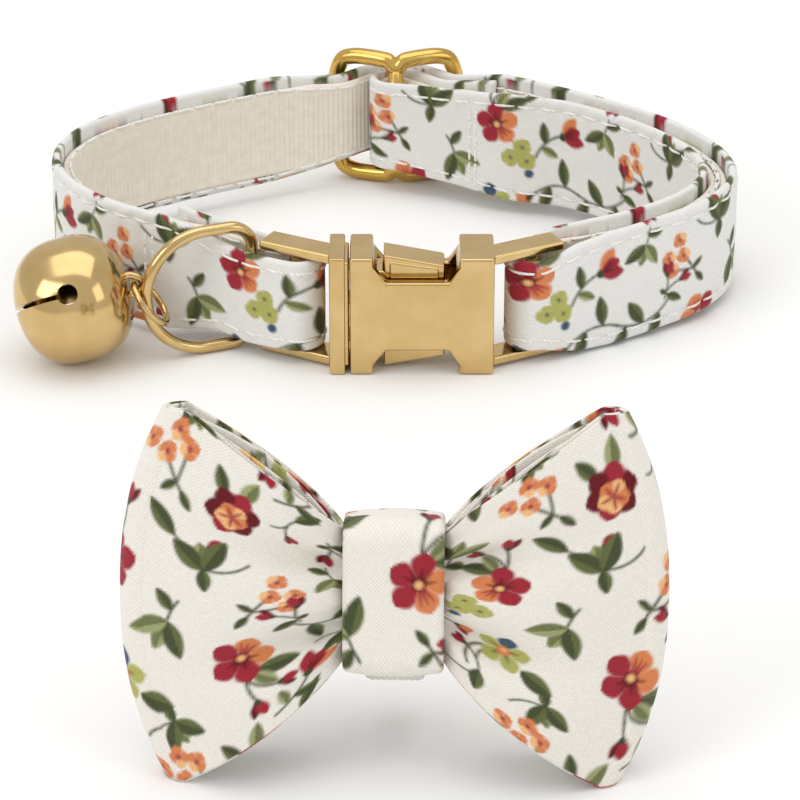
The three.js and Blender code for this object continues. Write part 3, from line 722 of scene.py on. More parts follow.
def vine(ink):
    """A long waving stem with alternate leaves and a bud."""
    ink.stem((-8, -0.4), (-4, -3.2), (0, 0))
    ink.stem((0, 0), (3.6, 2.8), (7.4, 0.4))
    leaves = ((-6, -1.5, -62), (-3.6, -1.6, 70), (-1.3, -0.9, -48), (1.9, 1.2, 96), (4.4, 1.5, -58))
    for x, y, angle in leaves:
        ink.leaf((x, y), angle, 4.1, 1.75)
    ink.bud((7.2, 0.5), -20, 2.8, ORANGE, RED)


def leaf_sprig(ink):
    """Three broad leaves on a short stem, two pale and one dark."""
    ink.stem((0.2, -3.0), (0.4, -1.4), (0, 0))
    ink.leaf((0, 0), 92, 3.6, 2.0, LEAF_PALE, LEAF)
    ink.leaf((0, -0.2), 134, 4.8, 2.2)
    ink.leaf((0, -0.2), 44, 4.6, 2.1, LEAF_PALE, LEAF)
    ink.leaf((0.2, -1.6), -24, 3.0, 1.5)


def twin_leaves(ink):
    """Two broad dark leaves spread like wings over a pale one, with a small one below."""
    ink.leaf((0, 0.2), 90, 3.4, 2.4, LEAF_PALE, LEAF)
    ink.leaf((0, 0), 128, 4.9, 2.4)
    ink.leaf((0, 0), 50, 4.9, 2.4)
    ink.leaf((0, 0.2), 262, 3.2, 1.7)
    ink.stem((0.4, 0), (3.0, -1.0), (5.2, 0.4))


def lime_cluster(ink):
    """Small yellow-green blossoms with a touch of blue."""
    ink.dot((-1.3, -1.5), 0.7, BLUE)
    for x, y, turn in ((0, 0, 20), (2.2, -0.9, 55), (1.7, 1.5, 0)):
        ink.bloom((x, y), 2.9, [LIME, LIME, LIME, LIME], turn, 1.2)
        ink.dot((x, y), 0.3, LEAF)


def lone_leaf(ink):
    """One long dark leaf on a thin curled stem with a bud."""
    ink.stem((0, 0), (1.2, -2.0), (3.4, -2.0))
    ink.stem((1.4, -1.6), (2.0, -2.8), (1.6, -3.6))
    ink.leaf((0, 0), 118, 5.0, 2.0)
    ink.bud((3.2, -2.0), 10, 2.3)


def peony(ink):
    """Dark red round flower with a peach heart and two leaves."""
    ink.leaf((-1.4, 1.4), 132, 3.2, 1.5)
    ink.leaf((0.2, 1.8), 82, 3.4, 1.7, LEAF_PALE, LEAF)
    ink.bloom((0, 0), 5.8, [WINE, RED, WINE, WINE, RED, WINE], 20, 1.25)
    ink.bloom((0.1, -0.5), 3.4, [PEACH, ORANGE, PEACH, PEACH, ORANGE], 60, 1.2)
    ink.veins((0.1, -0.5), 1.4, (60, 130, 200, 280, 340), RED)


def berry_pair(ink):
    """Two red buds on a forked stem with a leaf."""
    ink.stem((0, 2.6), (0.1, 0.8), (-0.8, -0.8))
    ink.stem((0.05, 1.4), (0.7, 0.2), (1.8, -0.4))
    ink.bud((-0.8, -0.6), -108, 2.6)
    ink.bud((1.7, -0.3), -42, 2.3)
    ink.leaf((0.1, 2.0), 8, 3.2, 1.4)
    ink.leaf((0, 1.8), 196, 1.5, 0.9)


# Where motifs lie on the tile: motif, x, y, turn in degrees, size
LAYOUT = [
    (vine, 18.5, 27.9, -14, 1.0),
    (lone_leaf, 28.8, 20.4, 150, 0.8),
    (lone_leaf, 37.0, 7.2, 20, 0.85),
    (lone_leaf, 10.2, 14.6, -70, 0.75),
    (twin_leaves, 2.2, 4.2, 14, 0.85),
    (twin_leaves, 35.6, 20.4, 200, 0.72),
    (twin_leaves, 15.6, 22.6, 160, 0.6),
    (leaf_sprig, 25.6, 10.6, -28, 0.95),
    (leaf_sprig, 36.6, 30.8, 150, 0.9),
    (leaf_sprig, 14.6, 4.6, 196, 0.75),
    (lime_cluster, 26.4, 31.6, 30, 0.9),
    (lime_cluster, 19.6, 11.8, -20, 0.8),
    (open_flower, 5.5, 25.5, 8, 1.0),
    (green_bloom, 31.0, 25.0, 0, 1.0),
    (tulip, 11.6, 19.2, -38, 1.0),
    (yellow_bloom, 22.4, 17.6, 6, 1.0),
    (orange_cluster, 34.2, 14.6, 18, 1.0),
    (peony, 4.2, 12.0, -12, 1.0),
    (berry_pair, 14.4, 10.6, 16, 1.0),
    (open_flower, 30.4, 3.4, 168, 0.94),
    (orange_cluster, 8.6, 1.6, -60, 0.95),
    (tulip, 21.4, 2.6, 64, 1.05),
    (berry_pair, 10.6, 31.6, 200, 0.85),
]


def printed(flat, ground):
    """Colour of the printed cloth at places on the flat cloth, an array of (u, v) in millimetres."""
    u, v = flat.reshape(-1, 2).T
    colour = np.tile(ground, (len(u), 1))
    for motif, at_x, at_y, turn, size in LAYOUT:
        dx = (u - at_x + TILE[0] / 2) % TILE[0] - TILE[0] / 2
        dy = (v - at_y + TILE[1] / 2) % TILE[1] - TILE[1] / 2
        near = np.hypot(dx, dy) < MOTIF_REACH
        dx = dx[near] / size
        dy = dy[near] / size
        back = math.radians(-turn)
        x = dx * math.cos(back) - dy * math.sin(back)
        y = dx * math.sin(back) + dy * math.cos(back)
        ink = Ink(x, y, colour[near])
        motif(ink)
        colour[near] = ink.colour
    return colour


# Materials

class Look:
    """A material in the making: values and other nodes' outputs are plugged into its nodes."""

    def __init__(self, name):
        self.material = bpy.data.materials.new(name)
        self.material.use_nodes = True
        self.tree = self.material.node_tree
        self.shader = self.tree.nodes["Principled BSDF"]

    def plug(self, socket, value):
        if isinstance(value, bpy.types.NodeSocket):
            self.tree.links.new(value, socket)
        else:
            socket.default_value = value

    def fill(self, node, values):
        for name, value in values.items():
            self.plug(node.inputs[name], value)

    def node(self, kind, values):
        node = self.tree.nodes.new("ShaderNode" + kind)
        self.fill(node, values)
        return node

    def calc(self, operation, *values):
        node = self.node("Math", {})
        node.operation = operation
        for socket, value in zip(node.inputs, values):
            self.plug(socket, value)
        return node.outputs[0]

    def noise(self, place, scale, detail):
        return self.node("TexNoise", {"Vector": place, "Scale": scale, "Detail": detail}).outputs["Fac"]

    def ramp(self, place, low, high, start=0.0, end=1.0):
        """Colour that goes from low to high while place goes from start to end."""
        node = self.node("ValToRGB", {"Fac": place})
        first, last = node.color_ramp.elements
        first.position = start
        last.position = end
        first.color = (*low, 1)
        last.color = (*high, 1)
        return node.outputs["Color"]

    def weave(self, pitch):
        """Plain weave, with threads over and under in -1 to 1, and the place on the flat cloth."""
        place = self.node("UVMap", {})
        place.uv_map = "cloth"
        split = self.node("SeparateXYZ", {"Vector": place.outputs["UV"]})
        turns = [self.calc("MULTIPLY", split.outputs[axis], 2 * math.pi / pitch) for axis in "XY"]
        waves = [self.calc("SINE", turn) for turn in turns]
        return self.calc("MULTIPLY", *waves), place.outputs["UV"]

    def bump(self, height, strength, depth):
        node = self.node("Bump", {"Height": height, "Strength": strength, "Distance": depth * MM})
        self.fill(self.shader, {"Normal": node.outputs["Normal"]})


def cotton_look():
    """Printed plain-weave cotton: the print, darkened between threads as painted shade, with slubs and a
    soft sheen.
    """
    slub_share = 0.16
    thread_shade_share = 0.06
    darkest = 0.89
    look = Look("printed cotton")
    height, place = look.weave(pitch=0.42)
    ink = look.node("VertexColor", {})
    ink.layer_name = "print"
    slubs = look.calc("MULTIPLY", look.noise(place, scale=2.2, detail=6.0), slub_share)
    # Painted shade: the weave's height darkens the colour between threads; the slubs are the cloth's own
    # uneven tone.
    threads = look.calc("MULTIPLY", height, thread_shade_share)
    shade = look.calc("ADD", look.calc("ADD", threads, slubs), darkest)
    tint = look.node("Mix", {})
    tint.data_type = "RGBA"
    tint.blend_type = "MULTIPLY"
    look.fill(tint, {"Factor": 1.0, "A": ink.outputs["Color"], "B": shade})
    look.fill(look.shader, {
        "Base Color": tint.outputs["Result"],
        "Roughness": 0.88,
        "Specular IOR Level": 0.25,
        "Sheen Weight": 0.12,
    })
    look.bump(look.calc("ADD", height, slubs), strength=0.5, depth=0.05)
    return look.material


def plain_cloth_look(name, colour, pitch, depth, spread):
    """Undyed woven or knitted tape: a plain weave with soft blotches."""
    look = Look(name)
    height, place = look.weave(pitch)
    blotches = look.noise(place, scale=0.8, detail=5.0)
    look.fill(look.shader, {
        "Base Color": look.ramp(blotches, colour * (1 - spread), colour, start=0.3, end=0.7),
        "Roughness": 0.92,
        "Specular IOR Level": 0.2,
        "Sheen Weight": 0.15,
    })
    look.bump(height, strength=0.5, depth=depth)
    return look.material


def thread_look():
    """White polyester thread with a fine twist, darker in the twist's grooves as painted shade."""
    look = Look("white thread")
    place = look.node("TexCoord", {}).outputs["Object"]
    wave = look.node("TexWave", {"Vector": place, "Scale": 900.0, "Distortion": 1.0})
    wave.bands_direction = "DIAGONAL"
    twist = wave.outputs["Fac"]
    # Painted shade: the twist bands darken the base colour in the grooves.
    look.fill(look.shader, {
        "Base Color": look.ramp(twist, srgb(226, 224, 220), srgb(252, 251, 248)),
        "Roughness": 0.5,
    })
    look.bump(twist, strength=0.4, depth=0.05)
    return look.material


def metal_look(name, colour, worn, low, high):
    """Polished plated metal: soft cloudy wear in colour and gloss, and fine hairline scratches."""
    look = Look(name)
    place = look.node("TexCoord", {}).outputs["Object"]
    cloud = look.noise(place, scale=260.0, detail=4.0)
    gloss = look.node("MapRange", {"Value": cloud, "To Min": low, "To Max": high})
    stretch = look.node("Mapping", {"Vector": place, "Scale": (300.0, 300.0, 5000.0)})
    scratches = look.noise(stretch.outputs["Vector"], scale=1.0, detail=3.0)
    look.fill(look.shader, {
        "Base Color": look.ramp(cloud, worn, colour, start=0.35, end=0.65),
        "Metallic": 1.0,
        "Roughness": gloss.outputs["Result"],
    })
    look.bump(scratches, strength=0.05, depth=0.02)
    return look.material


COTTON = cotton_look()
WEBBING = plain_cloth_look("beige webbing", srgb(243, 236, 221), pitch=0.36, depth=0.05, spread=0.10)
ELASTIC = plain_cloth_look("white elastic", srgb(244, 242, 236), pitch=0.44, depth=0.08, spread=0.06)
THREAD = thread_look()
GOLD = metal_look("pale gold", srgb(216, 187, 132), srgb(206, 175, 118), low=0.10, high=0.20)
BRASS = metal_look("yellow brass", srgb(220, 184, 104), srgb(206, 166, 82), low=0.10, high=0.22)


# Strap

def edge_angles(steps):
    return np.linspace(0, math.pi, steps + 2)[1:-1]


def strip_section(straight, half_wall, face, lift, edge_steps, back_steps):
    """Section of a strip with round edges, row by row: distances out from its middle, and heights.

    It goes up the face, which stands out by lift, over one edge, down the back and under the other edge.
    """
    angle = edge_angles(edge_steps)
    over = half_wall * np.sin(angle)
    aside = half_wall * np.cos(angle)
    back = np.linspace(1, -1, back_steps)
    parts = [half_wall + lift, aside, np.full(back_steps, -half_wall), -aside]
    rows = len(straight)
    out = np.concatenate([np.broadcast_to(part, (rows, part.shape[-1])) for part in parts], axis=1)
    rise = [straight * face, straight + over, straight * back, -straight - over[::-1]]
    return out, np.concatenate(rise, axis=1)


def cover_relief(lengths, rise, half):
    """How far the cotton stands out: crowned between its stitch lines, drawn in along them."""
    room = np.clip((half - STRAP_IN_SLIDER) / (STRAP_FULL - STRAP_IN_SLIDER), COVER_LEAST_ROOM, 1)
    crown = COVER_CROWN * (1 - (rise / half) ** 2)
    from_line = (np.abs(rise) - (half - STITCH_INSET)) / GROOVE_WIDTH
    stitch = 2 * math.pi * lengths / STITCH_PITCH
    pull = GROOVE_MEAN + GROOVE_SWING * np.cos(stitch)
    groove = GROOVE_DEPTH * np.exp(-from_line ** 2) * pull
    pucker = PUCKER_HEIGHT * np.exp(-(from_line / PUCKER_REACH) ** 2) * np.sin(stitch + rise)
    slack = SLACK_HEIGHT
    for along, up, start in SLACK_WAVES:
        slack = slack * np.sin(along * lengths + up * rise + start)
    return room * (crown - groove + pucker + slack)


def strap_cover():
    lengths = np.linspace(0, STRAP.length, int(STRAP.length / COVER_STEP) + 1)
    half = STRAP.half_width(lengths)[:, None]
    half_wall = COVER_WALL / 2
    straight = half - half_wall
    face = np.linspace(-1, 1, COVER_COLUMNS)
    relief = cover_relief(lengths[:, None], straight * face, half)
    out, rise = strip_section(straight, half_wall, face, relief, COVER_EDGE_STEPS, COVER_BACK_STEPS)
    middle = STRAP_HALF_THICKNESS - half_wall
    piece = loft("strap_cotton", STRAP.points(lengths, middle + out, rise), False)
    edge = half_wall * edge_angles(COVER_EDGE_STEPS)
    back = straight * np.linspace(1, 3, COVER_BACK_STEPS) + half_wall * math.pi
    run = np.concatenate([straight * face, straight + edge, back, -straight - edge[::-1]], axis=1)
    flat = flat_places(lengths[:, None], run)
    lay_flat(piece, flat)
    keep_print(piece, printed(flat, COLLAR_GROUND))
    dress(piece, COTTON, "collar", "printed_cotton", "strap_cover")


def strap_webbing():
    lengths = np.linspace(0, STRAP.length, int(STRAP.length / RIB_PITCH * STEPS_PER_RIB) + 1)
    half = np.minimum(WEBBING_HALF_WIDTH, STRAP.half_width(lengths) - WEBBING_MARGIN)
    half_wall = WEBBING_WALL / 2
    straight = (half - half_wall)[:, None]
    face = np.concatenate([[-1], np.linspace(-OUTER_COLUMN, OUTER_COLUMN, WEBBING_COLUMNS), [1]])
    ribs = RIB_HEIGHT * np.maximum(np.cos(2 * math.pi * lengths / RIB_PITCH), RIB_FLOOR)[:, None]
    from_edge = (straight - np.abs(straight * face)) / SELVEDGE
    ribs = ribs * np.clip(from_edge + SELVEDGE_LEVEL, SELVEDGE_LEVEL, 1)
    out, rise = strip_section(straight, half_wall, face, ribs, WEBBING_STEPS, WEBBING_STEPS)
    middle = half_wall - STRAP_HALF_THICKNESS
    piece = loft("strap_webbing_ribbed", STRAP.points(lengths, middle - out, rise), False)
    lay_flat(piece, flat_places(lengths[:, None], rise))
    dress(piece, WEBBING, "collar", "beige_webbing", "strap_webbing")


def stitches():
    """Short threads that dip into the cloth at both ends, along both edges and across two seams."""
    shells = []
    share = np.linspace(0, 1, STITCH_STEPS)
    loop = STITCH_RISE * np.sin(math.pi * share) - STITCH_DIP

    def sew(lengths, stand, rise):
        path = STRAP.points(lengths, stand, rise)
        shells.append(tube_shell(path, THREAD_RADIUS, THREAD_AXIS, THREAD_SIDES))

    def sew_on_cotton(lengths, rise):
        relief = cover_relief(lengths, rise, STRAP.half_width(lengths))
        sew(lengths, STRAP_HALF_THICKNESS + relief + loop, rise)

    for start in np.arange(FIRST_STITCH, STRAP.length - STITCH_PITCH, STITCH_PITCH):
        lengths = start + STITCH_SHARE * STITCH_PITCH * (share - 0.5)
        for edge in (-1, 1):
            rise = edge * (STRAP.half_width(lengths) - STITCH_INSET)
            sew_on_cotton(lengths, rise)
            sew(lengths, -STRAP_HALF_THICKNESS - loop, rise)
    for row, gap, inset in CROSS_SEAMS:
        reach = STRAP_FULL - inset
        for line in (-gap / 2, gap / 2):
            lengths = np.full(STITCH_STEPS, STRAP.length_at_row(row) + line)
            for start in np.arange(-reach, reach - CROSS_END, CROSS_PITCH):
                sew_on_cotton(lengths, start + CROSS_LENGTH * share)
    piece = join_shells("stitches", shells)
    dress(piece, THREAD, "collar", "printed_cotton")


# Bow

# Gathers that the knot holds, deepest under it: place across, depth, width
GATHERS = [
    (-0.85, 0.3, 0.09),
    (-0.5, 0.7, 0.1),
    (-0.2, 0.25, 0.07),
    (0.12, 0.3, 0.08),
    (0.5, 0.7, 0.1),
    (0.8, 0.32, 0.09),
]
GATHER_REACH = 0.3
# A wing's edge, seen end on: two plies with a slit between them. Share of the half wall out from the
# middle, share of the slit's half width, and height in millimetres
PLY_EDGE = [
    (1.0, 0.0, 0.0),
    (0.93, 0.0, 0.16),
    (0.72, 0.0, 0.24),
    (0.45, 0.35, 0.2),
    (0.0, 1.0, 0.06),
    (0.0, 0.9, -0.5),
    (0.0, 0.5, -1.1),
]
EDGE_FLAT_STEP = 0.2
SLIT_LEAST = 0.07
SLIT_MORE = 0.3
SLIT_SPREAD = 0.7
# Stretches of the loop with their numbers of rings, dense where the front shows
WING_RINGS = [
    (0.72, 0.97, 56),
    (0.97, 1.53, 274),
    (1.53, 1.72, 42),
]
WING_COLUMNS = 192
WING_BACK_COLUMNS = 24
WING_NUDGE = 1e-3
# Cloth turned in between the front and the back of a wing, at its upper edge: place from front to back,
# and how far the fold stands above the wing's own edge
INNER_FOLDS = [
    (0.3, 0.45),
    (0.68, 0.9),
]
FOLD_WALL = 0.5
FOLD_REACH = (0.04, 0.93)
FOLD_DROP = 0.36
FOLD_STEPS = 84
FOLD_COLUMNS = 10
FOLD_RIM_COLUMNS = 4
FOLD_RIM_GAP = 0.02
FOLD_RIM_CROWN = 0.2
FOLD_SINK = 0.3
FOLD_CLEAR = 0.6
FOLD_FLAT_STEP = 0.1
FOLD_PRINT_STEP = 40
BOW_TURN = turn_z(BOW_YAW) @ turn_x(-BOW_LEAN)
BOW_ORIGIN = np.mean(np.array(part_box("bow_knot")), axis=0) / MM - SHIFT


def gaussian(x, middle, width):
    return np.exp(-((x - middle) / width) ** 2)


def wing_span(across):
    return BOW_REACH - BOW_WALL / 2 - BOW_FOLD_RADIUS - BOW_TIP_PULL * np.abs(across) ** BOW_TIP_BEND


def wing_height(away):
    return BOW_WAIST_HEIGHT + (BOW_TIP_HEIGHT - BOW_WAIST_HEIGHT) * away ** BOW_FLARE


def wing_depth(away, across, share):
    """Distance of a wing's front or back from the bow's middle plane; share scales its puff and pleats."""
    puff = share * BOW_PUFF * np.sin(math.pi * away ** BOW_PUFF_SKEW)
    fade = away / PLEAT_PEAK * np.exp(1 - away / PLEAT_PEAK) * (1 - away ** 4)
    folds = gaussian(across, PLEAT_PLACE, PLEAT_WIDTH) + gaussian(across, -PLEAT_PLACE, PLEAT_WIDTH)
    waist = BOW_WAIST_DEPTH * (1 - BOW_WAIST_TAPER * across ** 4)
    base = waist + (BOW_FOLD_RADIUS - waist) * away
    gathers = sum(depth * gaussian(across, place, width) for place, depth, width in GATHERS)
    held = gathers * gaussian(away, 0, GATHER_REACH)
    return base + puff - share * PLEAT_DEPTH * fade * folds - held


def bow_surface(turn, across):
    """Middle surface of the wings: turn runs round the loop in [0, 1), across from -1 at the foot to 1."""
    turn = turn % 1
    span = wing_span(across)
    half = turn % 0.5
    facing = np.where(turn < 0.5, -1.0, 1.0)
    share = np.where(facing < 0, 1.0, BOW_BACK_SHARE)
    panel = np.minimum(half / PANEL_SHARE, 1)
    reach = np.abs(2 * panel - 1)
    side = -facing * np.sign(2 * panel - 1)
    away = np.maximum(0, (reach - KNOT_SHARE) / (1 - KNOT_SHARE))
    under_knot = KNOT_REACH * np.minimum(reach, KNOT_SHARE) / KNOT_SHARE
    x = side * np.where(away > 0, KNOT_REACH + (span - KNOT_REACH) * away, under_knot)
    y = facing * wing_depth(away, across, share)
    angle = math.pi * np.maximum(half - PANEL_SHARE, 0) / (0.5 - PANEL_SHARE)
    folding = half > PANEL_SHARE
    x = np.where(folding, side * (span + BOW_FOLD_RADIUS * np.sin(angle)), x)
    y = np.where(folding, facing * BOW_FOLD_RADIUS * np.cos(angle), y)
    footing = away * y * math.tan(BOW_LEAN) * (1 - across) / 2
    return np.stack([x, y, across * wing_height(away) + footing], axis=-1), away


def place_bow(points):
    return points @ BOW_TURN.T + BOW_ORIGIN


def wing_column(turns, across, out, slit, rise):
    """Points along the loop at one place across, out from the middle surface and raised."""
    place = np.full_like(turns, across)
    point, away = bow_surface(turns, place)
    along = bow_surface(turns + WING_NUDGE, place)[0] - bow_surface(turns - WING_NUDGE, place)[0]
    normal = np.column_stack([along[:, 1], -along[:, 0], np.zeros(len(turns))])
    normal /= np.linalg.norm(normal, axis=1, keepdims=True)
    opening = SLIT_LEAST + SLIT_MORE * np.sin(math.pi * np.clip(away, 0, 1)) ** SLIT_SPREAD
    point = point + normal * (out * BOW_WALL / 2 + slit * opening)[:, None]
    point[:, 2] += rise
    return point


def inner_fold(side, share, rise):
    """One folded ply as rings along the wing: up its front, over a round edge and down its back."""
    away = np.linspace(*FOLD_REACH, FOLD_STEPS)[:, None]
    down = np.linspace(1, FOLD_RIM_GAP, FOLD_COLUMNS)
    up = down[::-1]
    rim = np.linspace(-1, 1, FOLD_RIM_COLUMNS + 2)[1:-1]
    across = np.concatenate([1 - FOLD_DROP * down, np.ones(len(rim)), 1 - FOLD_DROP * up])
    out = np.concatenate([-np.ones(len(down)), rim, np.ones(len(down))])
    lifted = np.concatenate([1 - down, 1 + FOLD_RIM_CROWN * (1 - rim ** 2), 1 - up])
    front = FOLD_CLEAR * BOW_WALL - wing_depth(away, across, 1.0)
    back = wing_depth(away, across, BOW_BACK_SHARE) - FOLD_CLEAR * BOW_WALL
    room = np.sin(math.pi * (away - FOLD_REACH[0]) / (FOLD_REACH[1] - FOLD_REACH[0]))
    x = side * (KNOT_REACH + (wing_span(across) - KNOT_REACH) * away)
    y = front + share * (back - front) + out * FOLD_WALL / 2
    z = across * wing_height(away) + lifted * (rise * room - FOLD_SINK)
    steps = np.hypot(np.diff(across, prepend=across[0]) * BOW_TIP_HEIGHT, FOLD_FLAT_STEP)
    flat = flat_places(side * away * BOW_LENGTH / 4, np.cumsum(steps) + FOLD_PRINT_STEP * share)
    return np.stack([x, y, z], axis=-1), flat


def bow_body():
    turns = np.concatenate([np.linspace(*stretch, endpoint=False) for stretch in WING_RINGS])
    ply = PLY_EDGE[1:]
    other_ply = [(-out, -slit, rise) for out, slit, rise in ply]
    columns = []
    flats = []
    for across in np.linspace(-1, 1, WING_COLUMNS):
        columns.append(wing_column(turns, across, 1.0, 0.0, 0.0))
        flats.append(across * BOW_TIP_HEIGHT)
    for out, slit, rise in ply + other_ply[::-1]:
        columns.append(wing_column(turns, 1.0, out, slit, rise))
        flats.append(flats[-1] + EDGE_FLAT_STEP)
    top = flats[-1]
    for across in np.linspace(1, -1, WING_BACK_COLUMNS):
        columns.append(wing_column(turns, across, -1.0, 0.0, 0.0))
        flats.append(top + (1 - across) * BOW_TIP_HEIGHT)
    for out, slit, rise in other_ply + ply[::-1]:
        columns.append(wing_column(turns, -1.0, out, slit, -rise))
        flats.append(flats[-1] + EDGE_FLAT_STEP)
    shells = [ring_shell(place_bow(np.stack(columns, axis=1)), True)]
    flat = [flat_places(turns[:, None] * BOW_LENGTH, np.array(flats)).reshape(-1, 2)]
    for side in (-1, 1):
        for share, rise in INNER_FOLDS:
            points, places = inner_fold(side, share, rise)
            shells.append(ring_shell(place_bow(points), False))
            flat.append(places.reshape(-1, 2))
    piece = join_shells("bow_wings", shells)
    flat = np.concatenate(flat)
    lay_flat(piece, flat)
    keep_print(piece, printed(flat, BOW_GROUND))
    dress(piece, COTTON, "collar", "printed_cotton", "bow_body")


CORNER_STEPS = 60
BAND_EDGE_STEPS = 5
BAND_BACK_STEPS = 7


def rounded_loop(half_depth, half_height, corner, step):
    """A rounded box in the YZ plane: places, outward directions and lengths along it."""
    points = []
    for side_y, side_z, start in ((1, 1, 0), (-1, 1, 0.5), (-1, -1, 1), (1, -1, 1.5)):
        for share in np.linspace(0, 1, CORNER_STEPS):
            angle = math.pi * (start + share / 2)
            y = side_y * (half_depth - corner) + corner * math.cos(angle)
            points.append((y, side_z * (half_height - corner) + corner * math.sin(angle)))
    points.append(points[0])
    points = np.array(points)
    lengths = np.concatenate([[0], np.cumsum(np.linalg.norm(np.diff(points, axis=0), axis=1))])
    even = np.linspace(0, lengths[-1], int(lengths[-1] / step), endpoint=False)
    places = np.column_stack([np.interp(even, lengths, points[:, axis]) for axis in range(2)])
    along = np.roll(places, -1, axis=0) - np.roll(places, 1, axis=0)
    along /= np.linalg.norm(along, axis=1, keepdims=True)
    zero = np.zeros(len(even))
    centre = np.column_stack([zero, places])
    out = np.column_stack([zero, along[:, 1], -along[:, 0]])
    return centre, out, even


def band(name, loop, wall, width, relief, columns):
    """A closed band of cloth with round edges; relief(lengths, across) lifts its outer face."""
    centre, out, lengths = loop
    straight = np.full((len(lengths), 1), width / 2 - wall / 2)
    face = np.linspace(-1, 1, columns)
    lift = relief(lengths[:, None], face)
    away, across = strip_section(straight, wall / 2, face, lift, BAND_EDGE_STEPS, BAND_BACK_STEPS)
    points = centre[:, None] + out[:, None] * away[..., None]
    points[..., 0] += across
    piece = loft(name, place_bow(points), True)
    flat = flat_places(lengths[:, None], across)
    lay_flat(piece, flat)
    return piece, flat


KNOT_HALF_DEPTH = BOW_WAIST_DEPTH + BOW_WALL / 2 + SEAT_GAP + KNOT_WALL / 2
KNOT_HALF_HEIGHT = BOW_WAIST_HEIGHT + SEAT_GAP + KNOT_WALL / 2


def knot_relief(lengths, across):
    crease = KNOT_CREASE
    for along, aside in KNOT_WAVES:
        crease = crease * np.sin(along * lengths + aside * across)
    return KNOT_CROWN * (1 - across ** 2) + crease


def bow_knot():
    loop = rounded_loop(KNOT_HALF_DEPTH, KNOT_HALF_HEIGHT, KNOT_CORNER, step=0.22)
    piece, flat = band("bow_band", loop, KNOT_WALL, KNOT_WIDTH, knot_relief, columns=45)
    on_print = flat[..., ::-1] + KNOT_PRINT_PLACE
    keep_print(piece, printed(on_print, BOW_GROUND))
    dress(piece, COTTON, "collar", "printed_cotton", "bow_knot")


def bow_elastic():
    half_depth = (ELASTIC_GAP_DEPTH + ELASTIC_WALL) / 2
    half_height = ELASTIC_GAP_HALF_HEIGHT + ELASTIC_WALL / 2
    centre, out, lengths = rounded_loop(half_depth, half_height, ELASTIC_CORNER, step=0.15)
    back = KNOT_HALF_DEPTH + KNOT_WALL / 2 + SEAT_GAP + ELASTIC_WALL / 2 + half_depth
    loop = (centre + np.array([0.0, back, -ELASTIC_DROP]), out, lengths)
    rib_pitch = (lengths[-1] + lengths[1]) / round(lengths[-1] / ELASTIC_RIB)

    def ribs(run, across):
        cords = np.cos(ELASTIC_CORDS * math.pi * across)
        return ELASTIC_RELIEF * (cords + np.cos(2 * math.pi * run / rib_pitch))

    piece, _ = band("bow_elastic_loop", loop, ELASTIC_WALL, ELASTIC_WIDTH, ribs, columns=46)
    dress(piece, ELASTIC, "collar", "white_elastic", "bow_elastic")


# Buckle

def tail_shells(bar, root_x, end_x):
    """Two arms bent back towards the neck, with an upright bar between them."""
    turn = math.copysign(TAIL_BEND, end_x - root_x)
    spin = turn_z(turn)
    ends = sorted([(root_x - bar[0]) / math.cos(turn), (end_x - bar[0]) / math.cos(turn)])
    middle = np.array([bar[0], bar[1], BUCKLE_MIDDLE])
    shells = []
    for side in (1, -1):
        heights = sorted([side * TAIL_INNER, side * TAIL_OUTER])
        points, faces = prism_shell(box_outline(*ends, *heights), -TAIL_HALF_DEPTH, TAIL_HALF_DEPTH)
        shells.append((np.array(points) @ spin.T + middle, faces))
    reach = TAIL_INNER + TAIL_BAR_SEAT
    bar_path = [middle - (0, 0, reach), middle + (0, 0, reach)]
    shells.append(tube_shell(bar_path, TAIL_BAR_RADIUS, (1, 0, 0), sides=28))
    return shells


def turned_over(outline):
    return [(x, BUCKLE_HEIGHT - z) for x, z in outline]


def buckle_socket():
    top = BUCKLE_HEIGHT
    shoulder = top - 1.2
    foot = top - 3.2
    half = [
        (SOCKET_LEFT, top),
        (-3.3, top),
        (-3.3, shoulder),
        (-1.7, foot),
        (5.9, foot),
        (7.2, shoulder),
        (7.2, top),
        (SOCKET_END, top),
    ]
    wall = 1.5
    roof = 2.0
    cavity_end = 8.6
    mouth = SOCKET_LEFT - 1
    inside = BUCKLE_HALF_DEPTH - wall
    outline = half + turned_over(half)[::-1]
    hollow = box_outline(mouth, cavity_end, roof, top - roof)
    body = mesh_object("socket_body", *prism_shell(outline, -BUCKLE_HALF_DEPTH, BUCKLE_HALF_DEPTH))
    cut_away(body, mesh_object("socket_hollow", *prism_shell(hollow, -inside, inside)))
    tail = tail_shells(SOCKET_BAR, SOCKET_END - TAIL_ROOT, SOCKET_TAIL_END)
    piece = join_shells("buckle_socket_gold", [take_shell(body), *tail])
    round_edges(piece, METAL_EDGE)
    dress(piece, GOLD, "collar", "pale_gold", "buckle_socket")


